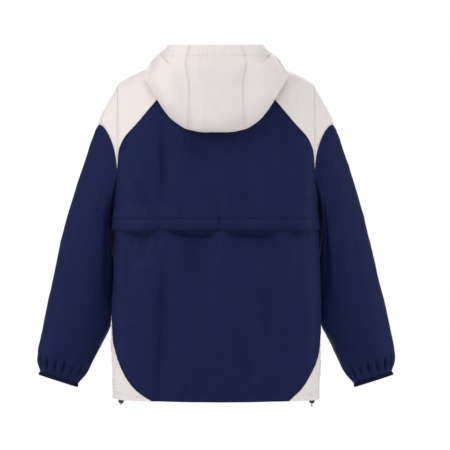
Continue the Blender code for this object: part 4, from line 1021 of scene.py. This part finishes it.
def makeFront(word, side):
    low = sidePieceHeights(lowRows)[:, -1][::-1]
    sideZ = finer((seams["sideTop"], -0.478, -0.450, -0.420, -0.394, -0.360, -0.330,
                   bodyForm["underarm"]), 6)
    armAngle, armZ = lowerArmhole(True)
    yokeLine = yokeSeam(True)
    ends = np.concatenate([frontEdge(low), np.full(len(sideZ), bodyForm["underarmAngle"]),
                           armAngle[1:], angleAt(yokeLine[0], yokeLine[1], True)[1:]])
    z = np.concatenate([low, sideZ, armZ[1:], yokeLine[1][1:]])
    wide = angleAt(bodyForm["zipHalf"], z, True) - ends
    across = np.linspace(0, 1, spans["front"] + 1)
    angle = ends[:, None] + wide[:, None] * across
    height = np.repeat(z[:, None], len(across), axis=1)
    neck = archPoint(*neckSeam(np.linspace(bodyForm["neckFront"], zipTurn, spans["front"] + 1)))
    top = slice(-spans["yoke"] - 1, None)
    blend = np.linspace(0, 1, spans["yoke"] + 1)[:, None]
    height[top] += blend ** fronts["neckRise"] * (neck[:, 2] - neck[0, 2])
    neckAngle = angleAt(neck[:, 0], neck[:, 2], True)
    share = (neckAngle - neckAngle[0]) / (neckAngle[-1] - neckAngle[0])
    angle[top] = ends[top, None] + wide[top, None] * ((1 - blend) * across + blend * share)
    angle, height = angle[:, ::-1] * side, height[:, ::-1]
    points, out, gaps = onBody(angle, height)
    x = points[..., 0] * side
    calm = ramp(np.minimum(gaps["left"], gaps["right"]), 0.0, 0.012) * ramp(gaps["bottom"], 0, 0.02)
    depth = settled(foldDepth(x, height, fronts["folds"])) + sideFullness(angle, height)
    depth += crumpled(x, height, fronts, aside=side) * calm
    depth += puckered(fronts["puckers"], gaps, -height, side)
    return panel("front" + word.title(), "front_" + word, points, out, depth, "navy",
                 ("left", "right", "bottom"),
                 (("top", fronts["casing"]), ("left", 0.0030), ("right", 0.0024)),
                 join=("bottom", "left", "right"))


# the shoulder yokes

yoke = {
    "wrinkle": (1.2, 0.08, 0.034, 93, 0.0014), "waves": (),
    # edge, distance from it, pitch, height, reach, seed
    "puckers": (("left", 0.0, 0.013, 0.0005, 0.013, 95), ("right", 0.0, 0.013, 0.0005, 0.013, 96),
                ("bottom", 0.0, 0.013, 0.0005, 0.013, 97)),
}


def makeYoke(word, side):
    (backX, backZ), (frontX, frontZ) = yokeSeam()[:, ::-1], yokeSeam(True)[:, ::-1]
    backArch, frontArch = archAngle(backX, backZ), archAngle(frontX, frontZ, True)
    neckX, neckArch = neckSeam(np.linspace(bodyForm["neckBack"], bodyForm["neckFront"],
                                           spans["upperArm"] + 1))
    armX, armArch = upperArmhole()
    v = np.linspace(0, 1, spans["yoke"] + 1)[:, None]
    u = np.linspace(0, 1, spans["upperArm"] + 1)[None, :]

    def patch(neck, arm, back, front):
        edges = (1 - v) * neck + v * arm + (1 - u) * back[:, None] + u * front[:, None]
        corners = ((1 - v) * ((1 - u) * neck[0] + u * neck[-1])
                   + v * ((1 - u) * arm[0] + u * arm[-1]))
        return edges - corners

    x = patch(neckX, armX, backX, frontX) * side
    arch = patch(neckArch, armArch, backArch, frontArch)
    points, out = archPoint(x, arch), archNormals(x, arch)
    gaps = edgeGaps(points)
    near = np.min(list(gaps.values()), axis=0)
    depth = crumpled(x, arch, yoke, side) * ramp(near, 0.0, 0.012)
    depth += puckered(yoke["puckers"], gaps, gaps["top"], side) * ramp(near, 0, 0.003)
    return panel("yoke" + word.title(), "yoke_" + word, points, out, depth, "white",
                 ("left", "right", "top", "bottom"), (("left", 0.0030), ("right", 0.0030)))


# the sleeves: a white cap, the navy sleeve, and the elastic cuff

sleeves = {
    # share of the length, outer and inner points of the ring, its middle and half depth
    "share":  (0.00, 0.12, 0.30, 0.50, 0.70, 0.85, 0.94, 1.00),
    "outerX": (0.2216, 0.2577, 0.3010, 0.3412, 0.3715, 0.3925, 0.4018, 0.3965),
    "outerZ": (-0.0345, -0.1035, -0.2265, -0.3570, -0.4900, -0.5910, -0.6435, -0.6795),
    "innerX": (0.2150, 0.2235, 0.2275, 0.2290, 0.2345, 0.2600, 0.2860, 0.3110),
    "innerZ": (-0.3020, -0.3450, -0.4050, -0.4780, -0.5650, -0.6220, -0.6710, -0.7070),
    "middleY": (0.0000, -0.0080, -0.0220, -0.0340, -0.0420, -0.0460, -0.0470, -0.0480),
    "depth":  (0.0600, 0.0650, 0.0690, 0.0680, 0.0640, 0.0600, 0.0500, 0.0290),
    "corner": 2.3, "cap": 0.178, "capTip": 0.0015, "capRows": 34, "length": 0.680, "rows": 142,
    "wrinkle": 0.0012, "wave": 0.0030, "toBody": 0.0024, "foldDrift": 0.25,
    "gathers": 18, "gatherWave": 0.0028, "gatherPinch": 0.0068, "aboveGathers": 0.0022,
    "cuffDeep": 0.0072, "cuffThick": 0.0020, "cuffOut": 0.0006, "cuffBulge": 0.0007,
    "cuffWave": 0.0006, "cuffGrid": (9, 216),
    # edge, distance from it, pitch, height, reach, seed
    "capPuckers": (("bottom", 0.0, 0.013, 0.0006, 0.012, 121), ("top", 0.0, 0.012, 0.0006, 0.012, 123)),
    # turn, top, end, width, depth
    "folds": (
        (2.30, 0.10, 0.62, 0.22, -0.0065), (1.15, 0.28, 0.80, 0.26, -0.0035),
        (-1.60, 0.22, 0.85, 0.30, -0.0050),
    ),
}
samples = 2 * spans["lowerArm"] + spans["upperArm"]
topSample = spans["lowerArm"] + spans["upperArm"] // 2
sleeveRow = {key: curve(sleeves["share"], sleeves[key])
             for key in ("outerX", "outerZ", "innerX", "innerZ", "middleY", "depth")}
armLoop = np.concatenate([bodyPoint(*lowerArmhole()), archPoint(*upperArmhole())[1:],
                          bodyPoint(*lowerArmhole(True))[::-1][1:]])


def ringFrame(share):
    outer = np.stack([sleeveRow[k](share) for k in ("outerX", "middleY", "outerZ")], -1)
    inner = np.stack([sleeveRow[k](share) for k in ("innerX", "middleY", "innerZ")], -1)
    middle, half = (outer + inner) / 2, (outer - inner) / 2
    return middle, half, np.cross(unit(half), np.array([0.0, 1.0, 0.0]))


def loopShares():
    middle, half, across = ringFrame(np.array(0.0))
    size = np.linalg.norm(half)
    away = armLoop - middle
    run = runOf(armLoop)
    back = math.pi * (1 - run[:topSample + 1] / run[topSample])
    rest = (run[topSample:] - run[topSample]) / (run[-1] - run[topSample])
    turn = np.concatenate([back, -math.pi * rest[1:]])
    return away @ half / size ** 2, away[:, 1], away @ across, turn


loopUp, loopY, loopAcross, loopTurn = loopShares()


def turnAt(sample):
    return np.interp(np.mod(sample, samples), np.arange(samples + 1), loopTurn)


def sleevePoint(sample, share):
    sample, share = np.broadcast_arrays(np.asarray(sample, float), np.asarray(share, float))
    place, order = np.mod(sample, samples), np.arange(samples + 1)
    middle, half, across = ringFrame(np.clip(share, 0, 1))
    side, up = squared(np.interp(place, order, loopTurn), sleeves["corner"])
    own, flat = ramp(share, 0.0, 0.42), ramp(share, 0.05, 0.50)
    upNow = (1 - own) * np.interp(place, order, loopUp) + own * up
    yNow = (1 - own) * np.interp(place, order, loopY) + own * side * sleeveRow["depth"](share)
    acrossNow = (1 - flat) * np.interp(place, order, loopAcross)
    point = middle + half * upNow[..., None] + across * acrossNow[..., None]
    point[..., 1] += yNow
    point[..., 0] += cloth["seam"]
    return point


def sleeveWall(sample, share):
    point = sleevePoint(sample, share)
    out = normalsOf(sleevePoint, sample, share, False)
    out *= np.sign(np.sum(out * (point - ringFrame(share)[0]), axis=-1))[..., None]
    out[..., 0] *= np.where(out[..., 0] > 0, ramp(share, 0.002, 0.030), 1.0)
    return point, unit(out)


def sleeveRelief(sample, share, side):
    # folds down the sleeve, crumples at its bend, and the gathers above the cuff
    turn = turnAt(sample)
    depth = np.zeros(np.shape(turn))
    for start, top, end, width, deep in sleeves["folds"]:
        down = np.clip((share - top) / (end - top), 0, 1)
        across = (turn - start - sleeves["foldDrift"] * (down - 0.5)) / width
        depth += deep * np.sin(math.pi * down) * np.exp(-across ** 2)
    u, v = np.sin(turn) * 0.07 + np.cos(turn) * 0.09, share * sleeves["length"]
    body = ramp(share, 0.02, 0.12) * (1 - ramp(share, 0.86, 0.94))
    sharp = ripples(u * 1.3 + side, v * 0.7, 0.040, 103 + side) - cloth["rippleMean"]
    soft = softNoise(u * 1.1, v * 0.4 + side, 0.070, 108 + side)
    depth += (sharp * sleeves["wrinkle"] + soft * sleeves["wave"]) * body
    circle = 2 * math.pi * sample / samples
    uneven = 0.72 + 0.28 * np.sin(3 * circle + 0.7) * np.cos(5 * circle)
    reach = ramp(share, 0.915, 0.962) * (1 - 0.97 * ramp(share, 0.965, 0.998))
    wander = 0.30 * softNoise(circle * 3, share * 9, 1.0, 111 + side) * ramp(share, 1.0, 0.93)
    gather = np.cos(sleeves["gathers"] * circle + 0.35 + wander)
    depth += (sleeves["gatherWave"] * gather
              - sleeves["gatherPinch"] * np.clip(-gather, 0, 1) ** 3) * uneven * reach
    long = ramp(share, 0.80, 0.92) * (1 - ramp(share, 0.93, 0.97))
    depth += sleeves["aboveGathers"] * softNoise(circle * 2.2, share * 3, 0.55, 115 + side) * long
    toBody = ramp(-np.cos(turn), 0.55, 0.98) * ramp(share, 0.22, 0.36) * (1 - ramp(share, 0.52, 0.66))
    return depth + sleeves["toBody"] * toBody


def mirrored(points, side):
    return points * np.array([side, 1.0, 1.0])


def capShare(sample):
    near = np.clip(1 - np.abs(sample - topSample) / (spans["upperArm"] / 2), 0, 1)
    return sleeves["capTip"] + (sleeves["cap"] - sleeves["capTip"]) * near ** 1.3


def makeSleeveCap(word, side):
    rows, first = sleeves["capRows"], spans["lowerArm"]
    sample = np.arange(first, first + spans["upperArm"] + 1, dtype=float)[None, :]
    share = np.linspace(0, 1, rows)[:, None] * capShare(sample)
    sample = np.repeat(sample, rows, axis=0)
    point, out = sleeveWall(sample, share)
    gaps = edgeGaps(point)
    near = np.minimum(gaps["top"], gaps["bottom"])
    depth = sleeveRelief(sample, share, side) * ramp(near, 0, 0.010)
    for row, reach in zip(sleeves["capPuckers"], (0.002, 0.003)):
        depth += puckered((row,), gaps, None, side) * ramp(near, 0, reach)
    return panel("sleeveCap" + word.title(), "sleeve_cap_" + word, mirrored(point, side),
                 mirrored(out, side), depth, "white", ("top", "bottom"), (("bottom", 0.0028),))


def makeSleeve(word, side):
    rows = sleeves["rows"]
    sample = np.arange(samples * 2) / 2.0
    start = np.where(np.abs(sample - topSample) <= spans["upperArm"] / 2, capShare(sample), 0.0)
    start = start + np.where(start > 0, cloth["seam"] / 2 / sleeves["length"], 0.0)
    down = np.linspace(0, 1, rows)[:, None] ** 0.92
    share = start * (1 - down) + down
    sample = np.repeat(sample[None, :], rows, axis=0)
    point, out = sleeveWall(sample, share)
    top = edgeGaps(point)["top"]
    depth = sleeveRelief(sample, share, side) * ramp(top, 0, 0.010)
    loop = runOf(armLoop)[-1] * sample / samples
    depth += pucker(loop, top, 0.014, 0.0006, 0.014, 131 + side) * ramp(top, 0, 0.003)
    return panel("sleeve" + word.title(), "sleeve_" + word, mirrored(point, side),
                 mirrored(out, side), depth, "navy", ("top", "bottom"), (("top", 0.0028),),
                 around=True)


def makeCuff(word, side):
    rows, columns = sleeves["cuffGrid"]
    sample = (np.arange(columns) * samples / columns)[None, :]
    ring = sleevePoint(sample, np.ones_like(sample))
    out = normalsOf(sleevePoint, sample, np.full_like(sample, 0.9999), False)
    middle, across = ringFrame(np.array(1.0))[::2]
    out *= np.sign(np.sum(out * (ring - middle), axis=-1))[..., None]
    out = unit(out - across * np.sum(out * across, axis=-1)[..., None])
    down = across if across[2] < 0 else -across
    tall = np.linspace(0, 1, rows)
    deep = cloth["seam"] * 1.5 + sleeves["cuffDeep"] * tall[:, None, None]
    grid = ring + down * deep + out * sleeves["cuffOut"]
    circle = 2 * math.pi * sample / samples
    bulge = np.sin(math.pi * tall)[:, None]
    depth = sleeves["cuffBulge"] * bulge \
        + sleeves["cuffWave"] * np.cos(sleeves["gathers"] * 2 * circle + 0.6) * (0.4 + bulge)
    return panel("cuff" + word.title(), "cuff_" + word, mirrored(grid, side),
                 mirrored(np.repeat(out, rows, axis=0), side), depth, "navy", ("top",),
                 (("top", 0.0016), ("bottom", 0.0016)), thick=sleeves["cuffThick"], around=True)


# the hood, lying back

hoodColumns = ("turn", "foldX", "foldArch", "rimX", "rimY", "rimZ", "full", "lip", "bulge", "drop")
hoodRows = (
    (0.0, 0.0, 27.1, 0.0, 0.132, 0.0527, 1.0, 0.0259, 0.052, 0.042),
    (20.0, 0.0277, 27.5, 0.0317, 0.132, 0.0527, 1.0, 0.024, 0.052, 0.042),
    (36.667, 0.0623, 29.3, 0.0587, 0.128, 0.0528, 1.0, 0.0195, 0.052, 0.042),
    (50.0, 0.0961, 34.4, 0.0814, 0.117, 0.0532, 1.0, 0.0135, 0.056, 0.0392),
    (65.0, 0.1276, 45.2, 0.1016, 0.094, 0.0537, 1.0, 0.0135, 0.048, 0.0307),
    (80.0, 0.1516, 61.8, 0.1093, 0.063, 0.0512, 1.0, 0.0135, 0.018, 0.0161),
    (95.0, 0.1278, 76.1, 0.1104, 0.032, 0.0482, 0.92, 0.0152, 0.018, 0.0089),
    (110.0, 0.114, 92.1, 0.1056, 0.0, 0.0448, 0.66, 0.0163, 0.0188, 0.0069),
    (125.0, 0.104, 106.4, 0.0948, -0.033, 0.0395, 0.34, 0.0191, 0.019, 0.0081),
    (140.0, 0.1, 118.0, 0.075, -0.065, 0.03, 0.1, 0.024, 0.012, 0.008),
    (155.0, 0.07, 124.0, 0.047, -0.09, 0.017, 0.0, 0.024, 0.008, 0.008),
    (180.0, 0.01, 128.0, 0.0, -0.106, 0.006, 0.0, 0.024, 0.006, 0.008),
)
hoodLook = {
    "lay": 0.0060, "rows": 92, "seamColumn": 24, "columns": (37, 61, 25), "casing": 0.0260,
    "casingStep": 0.0007, "girth": 0.13,
    "wrinkle": (1.2, 0.8, 0.046, 141, 0.0012), "waves": ((1.1, 0.7, 0.050, 147, 0.0024),),
    # how much relief is left beside the fold, and where it ends and is whole again
    "foldCalm": (0.15, 0.004, 0.026),
    # the roll between the rim and its stitched line
    "rollAt": 0.0105, "rollHigh": 0.0011, "rollLow": 0.0009,
}
hoodTurns, *hoodValues = zip(*hoodRows)
hoodRow = {key: curve(hoodTurns, values) for key, values in zip(hoodColumns[1:], hoodValues)}


def hoodGuides(turn):
    # the points that one profile of the hood passes, from the neck to the rim
    size, side = abs(turn), 1.0 if turn >= 0 else -1.0
    neckX, neckArch = (float(v) for v in neckSeam(size))
    row = {key: float(value(math.degrees(size))) for key, value in hoodRow.items()}
    foldArch, full, bulge, drop = math.radians(row["foldArch"]), row["full"], row["bulge"], row["drop"]
    rim = np.array([row["rimX"], row["rimY"], row["rimZ"]])

    def laid(share, height):
        x = neckX + (row["foldX"] - neckX) * share
        arch = neckArch + (foldArch - neckArch) * share
        return archPoint(x, arch) + archNormals(np.array(max(x, 1e-5)), np.array(arch)) * height

    neck = laid(0.0, cloth["seam"] * 2)
    away = np.array([math.sin(size), math.cos(size), 0.0])
    up = np.array([0.0, 0.0, 1.0])
    pouch = [laid(share, hoodLook["lay"]) for share in (0.12, 0.30, 0.50, 0.70, 0.86)]
    pouch += [laid(1.00, hoodLook["lay"] * 1.6), laid(1.07, row["lip"]), laid(0.94, bulge * 0.86),
              laid(0.62, bulge * 1.12), rim + away * (0.006 + 0.25 * drop) - up * drop]
    stand = [neck + (rim - neck) * s + away * 0.010 * math.sin(math.pi * s)
             for s in np.linspace(0.10, 0.88, len(pouch))]
    guides = [neck] + [p * full + s * (1 - full) for p, s in zip(pouch, stand)] + [rim]
    return mirrored(np.array(guides), side)


def smoothThrough(points, count):
    ends = np.concatenate([[2 * points[0] - points[1]], points, [2 * points[-1] - points[-2]]])
    t = np.linspace(0, 1, 24, endpoint=False)[:, None]
    dense = []
    for i in range(1, len(ends) - 2):
        p, q, r, s = ends[i - 1:i + 3]
        dense.append(0.5 * (2 * q + (r - p) * t + (2 * p - 5 * q + 4 * r - s) * t ** 2
                            + (3 * q - p - 3 * r + s) * t ** 3))
    dense.append(points[-1:])
    return evenly(np.concatenate(dense), count - 1)


def hoodRelief(points, along, sewn):
    gaps = edgeGaps(points)
    down, rim = gaps["bottom"], hoodLook["casing"]      # distance from the rim, and its casing
    near = np.min([gaps[e] for e in sewn], axis=0)
    fold = np.argmin(points[..., 2], axis=0)
    fromFold = np.abs(gaps["top"] - np.take_along_axis(gaps["top"], fold[None, :], 0))
    left, start, stop = hoodLook["foldCalm"]
    calm = ramp(near, 0.0, 0.012) * ramp(gaps["top"], 0.0, 0.030)
    calm = calm * (left + (1 - left) * ramp(fromFold, start, stop)) * ramp(down, rim, rim + 0.012)
    depth = crumpled(along, down, hoodLook) * calm
    depth += ramp(down, rim, rim - 0.003) * hoodLook["casingStep"]
    uneven = 0.0020 * np.sin(along * 70) + 0.0015 * softNoise(along, down * 0, 0.02, 151)
    off = down - (hoodLook["rollAt"] + uneven)
    roll = (hoodLook["rollHigh"] * np.exp(-(off / 0.0028) ** 2)
            - hoodLook["rollLow"] * np.exp(-((off - 0.006) / 0.003) ** 2))
    depth += roll * ramp(near, 0, 0.006)
    depth += pucker(along, np.abs(down - rim), 0.012, 0.0014, 0.012, 155) * ramp(near, 0, 0.004)
    for edge in sewn:
        depth += pucker(down, gaps[edge], 0.011, 0.0011, 0.010, 161) * ramp(near, 0, 0.003) \
            * ramp(gaps["top"], 0, 0.03)
    return depth


def makeHood():
    back, front = bodyForm["neckBack"], bodyForm["neckFront"]
    first, second, third = hoodLook["columns"]
    half = np.concatenate([np.linspace(0, back, first), np.linspace(back, front, second)[1:],
                           np.linspace(front, zipTurn, third)[1:]])
    turns = np.concatenate([-half[::-1], half[1:]])
    grid = np.stack([smoothThrough(hoodGuides(t), hoodLook["rows"]) for t in turns], axis=1)
    out = unit(np.cross(np.gradient(grid, axis=0), np.gradient(grid, axis=1)))
    low, high = (len(turns) // 2 + way * hoodLook["seamColumn"] for way in (-1, 1))
    made = []
    for word, start, stop, sewn in (("right", 0, low, ("right",)),
                                    ("centre", low, high, ("left", "right")),
                                    ("left", high, len(turns) - 1, ("left",))):
        part = slice(start, stop + 1)
        along = np.tile(turns[part] * hoodLook["girth"], (len(grid), 1))
        lines = [("bottom", hoodLook["casing"])]
        lines += [(edge, 0.0022) for edge in sewn if word == "centre"]
        made.append(panel("hood" + word.title(), "hood_" + word, grid[:, part], out[:, part],
                          hoodRelief(grid[:, part], along, sewn), "white", sewn + ("top",), lines,
                          join=sewn))
    return made


# what repeats: stitches and zip teeth, set along a row of points

sizeLabels = ("Long", "Wide", "High")


def rowTree():
    tree = bpy.data.node_groups.new("smallPartsInARow", "GeometryNodeTree")
    for label, way, kind in (("Geometry", "INPUT", "Geometry"),
                             *((size, "INPUT", "Float") for size in sizeLabels),
                             ("Finish", "INPUT", "Material"), ("Geometry", "OUTPUT", "Geometry")):
        tree.interface.new_socket(label, in_out=way, socket_type="NodeSocket" + kind)
    given, made = tree.nodes.new("NodeGroupInput").outputs, tree.nodes.new("NodeGroupOutput").inputs
    bead = tree.nodes.new("GeometryNodeMeshUVSphere")
    setInputs(bead, {"Segments": 6, "Rings": 4, "Radius": 0.5})
    size = tree.nodes.new("ShaderNodeCombineXYZ")
    for spot, label in enumerate(sizeLabels):
        tree.links.new(given[label], size.inputs[spot])
    turns = None
    for label, axis, pivot in (("along", "X", "AUTO"), ("outward", "Z", "X")):
        reader = tree.nodes.new("GeometryNodeInputNamedAttribute")
        reader.data_type = "FLOAT_VECTOR"
        reader.inputs["Name"].default_value = label
        turn = tree.nodes.new("FunctionNodeAlignRotationToVector")
        turn.axis, turn.pivot_axis = axis, pivot
        tree.links.new(reader.outputs["Attribute"], turn.inputs["Vector"])
        if turns is not None:
            tree.links.new(turns, turn.inputs["Rotation"])
        turns = turn.outputs["Rotation"]
    put = tree.nodes.new("GeometryNodeInstanceOnPoints")
    real = tree.nodes.new("GeometryNodeRealizeInstances")
    paint = tree.nodes.new("GeometryNodeSetMaterial")
    for source, socket in (
            (given["Geometry"], put.inputs["Points"]), (bead.outputs["Mesh"], put.inputs["Instance"]),
            (turns, put.inputs["Rotation"]), (size.outputs[0], put.inputs["Scale"]),
            (put.outputs["Instances"], real.inputs["Geometry"]),
            (real.outputs["Geometry"], paint.inputs["Geometry"]),
            (given["Finish"], paint.inputs["Material"]), (paint.outputs["Geometry"], made["Geometry"])):
        tree.links.new(source, socket)
    return tree


smallParts = rowTree()


def rowOf(name, centres, along, outward, sizes, finish):
    mesh = bpy.data.meshes.new(name)
    mesh.from_pydata([tuple(c) for c in centres], [], [])
    for label, values in (("along", along), ("outward", outward)):
        spot = mesh.attributes.new(label, "FLOAT_VECTOR", "POINT")
        spot.data.foreach_set("vector", np.asarray(values, np.float32).ravel())
    thing = placed(name, mesh)
    step = thing.modifiers.new("row", "NODES")
    step.node_group = smallParts
    given = dict(zip(sizeLabels, map(float, sizes)), Finish=finish)
    for item in smallParts.interface.items_tree:
        if item.in_out == "INPUT" and item.name in given:
            step[item.identifier] = given[item.name]
    plain = bpy.data.meshes.new_from_object(
        thing.evaluated_get(bpy.context.evaluated_depsgraph_get()))
    thing.modifiers.clear()
    thing.data = plain
    plain.shade_smooth()
    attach(thing, jacket)
    return thing


# the zip

zipForm = {
    "tapeThick": 0.0012, "spans": 110, "columns": 9, "cordAt": 0.0022, "cordHalf": 0.0011,
    "cordHigh": 0.0005, "stitchAt": 0.0035, "sliderDrop": 0.0330, "sliderClear": 0.0075,
    "openAbove": 0.006, "openBy": 0.0011, "toothSide": 0.0006, "toothUp": 0.0006,
    "toothPitch": 0.0021, "toothEnds": 0.004, "toothSize": (0.0034, 0.0013, 0.0017),
}


def frontLine():
    z = np.concatenate([np.linspace(bodyForm["hemSide"], -0.16, 17), [-0.135, -0.115, -0.100]])
    neckZ = float(archPoint(*neckSeam(zipTurn))[2])
    z = np.append(z[z < neckZ - 0.012], neckZ - 0.004)
    body = bodyPoint(angleAt(bodyForm["zipHalf"], z, True), z)
    line = np.concatenate([body, smoothThrough(hoodGuides(zipTurn), 15)[1::2]])
    line = evenly(evenly(line, 22), zipForm["spans"])
    out = unit(np.cross(np.gradient(line, axis=0), np.array([1.0, 0.0, 0.0])))
    return line, out * np.sign(-out[:, 1])[:, None]


def makeZip():
    line, out = frontLine()
    columns = zipForm["columns"]
    across = np.linspace(cloth["seam"] / 2, bodyForm["zipHalf"] - cloth["seam"], columns)
    cord = zipForm["cordHigh"] * np.exp(-((across - zipForm["cordAt"]) / zipForm["cordHalf"]) ** 2)
    made = []
    for word, side in sides:
        grid = np.repeat(line[:, None, :], columns, axis=1)
        grid[..., 0] = side * across
        thing = panel("zipTape" + word.title(), "zip_" + word, grid,
                      np.repeat(out[:, None, :], columns, axis=1), np.tile(cord, (len(line), 1)),
                      "navy", (), (("right", zipForm["stitchAt"]),), thick=zipForm["tapeThick"],
                      join=())
        thing.data.materials[0] = hard["zipTape"]
        made.append(thing)
    run = runOf(line)
    at = np.arange(zipForm["toothEnds"], run[-1] - zipForm["toothEnds"], zipForm["toothPitch"])
    spots, ways = sampled(at, run, line), sampled(at, run, out)
    slider = line[-1][2] - zipForm["sliderDrop"]
    opened = np.where(spots[:, 2] > slider + zipForm["openAbove"], zipForm["openBy"], 0.0)
    spots[:, 0] = np.where(np.arange(len(at)) % 2, 1.0, -1.0) * (zipForm["toothSide"] + opened)
    clear = np.abs(spots[:, 2] - slider) > zipForm["sliderClear"]
    spots = spots + ways * zipForm["toothUp"]
    made.append(rowOf("zipTeeth", spots[clear], np.tile((1.0, 0.0, 0.0), (clear.sum(), 1)), ways[clear],
                      zipForm["toothSize"], hard["blackPlastic"]))
    return made


def finishHardware():
    for node, finish in (("zip_slider", "blackMetal"), ("zip_tab", "blackMetal"),
                         ("stopper_left", "blackPlastic"), ("stopper_right", "blackPlastic")):
        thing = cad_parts[node]
        thing = bpy.data.objects[thing] if isinstance(thing, str) else thing
        for spot in thing.material_slots:
            spot.material = hard[finish]


# made in order

upper, lower = makeUpperBack(), makeLowerBack()
sidePieces, frontPieces, yokes = ([make(word, side) for word, side in sides]
                                  for make in (makeSidePiece, makeFront, makeYoke))
print("body sewn")
caps, sleevesMade, cuffs = ([make(word, side) for word, side in sides]
                            for make in (makeSleeveCap, makeSleeve, makeCuff))
print("sleeves sewn")
hoods = makeHood()
print("hood sewn")
zipPieces = makeZip()
finishHardware()
print("zip made")
for colour, rows in stitchRows.items():
    centres, along, outward = (np.concatenate(part) for part in zip(*rows))
    rowOf(colour + "Stitches", centres, along, outward,
          (stitchForm["long"], stitchForm["wide"], stitchForm["high"]), hard[colour + "Thread"])
print("stitches set")

for word, (cord, route, length) in cordsMade.items():
    cord.data.materials.append(hard["greyCord"])
    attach(cord, jacket)
    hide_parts("hem_cord_" + word)
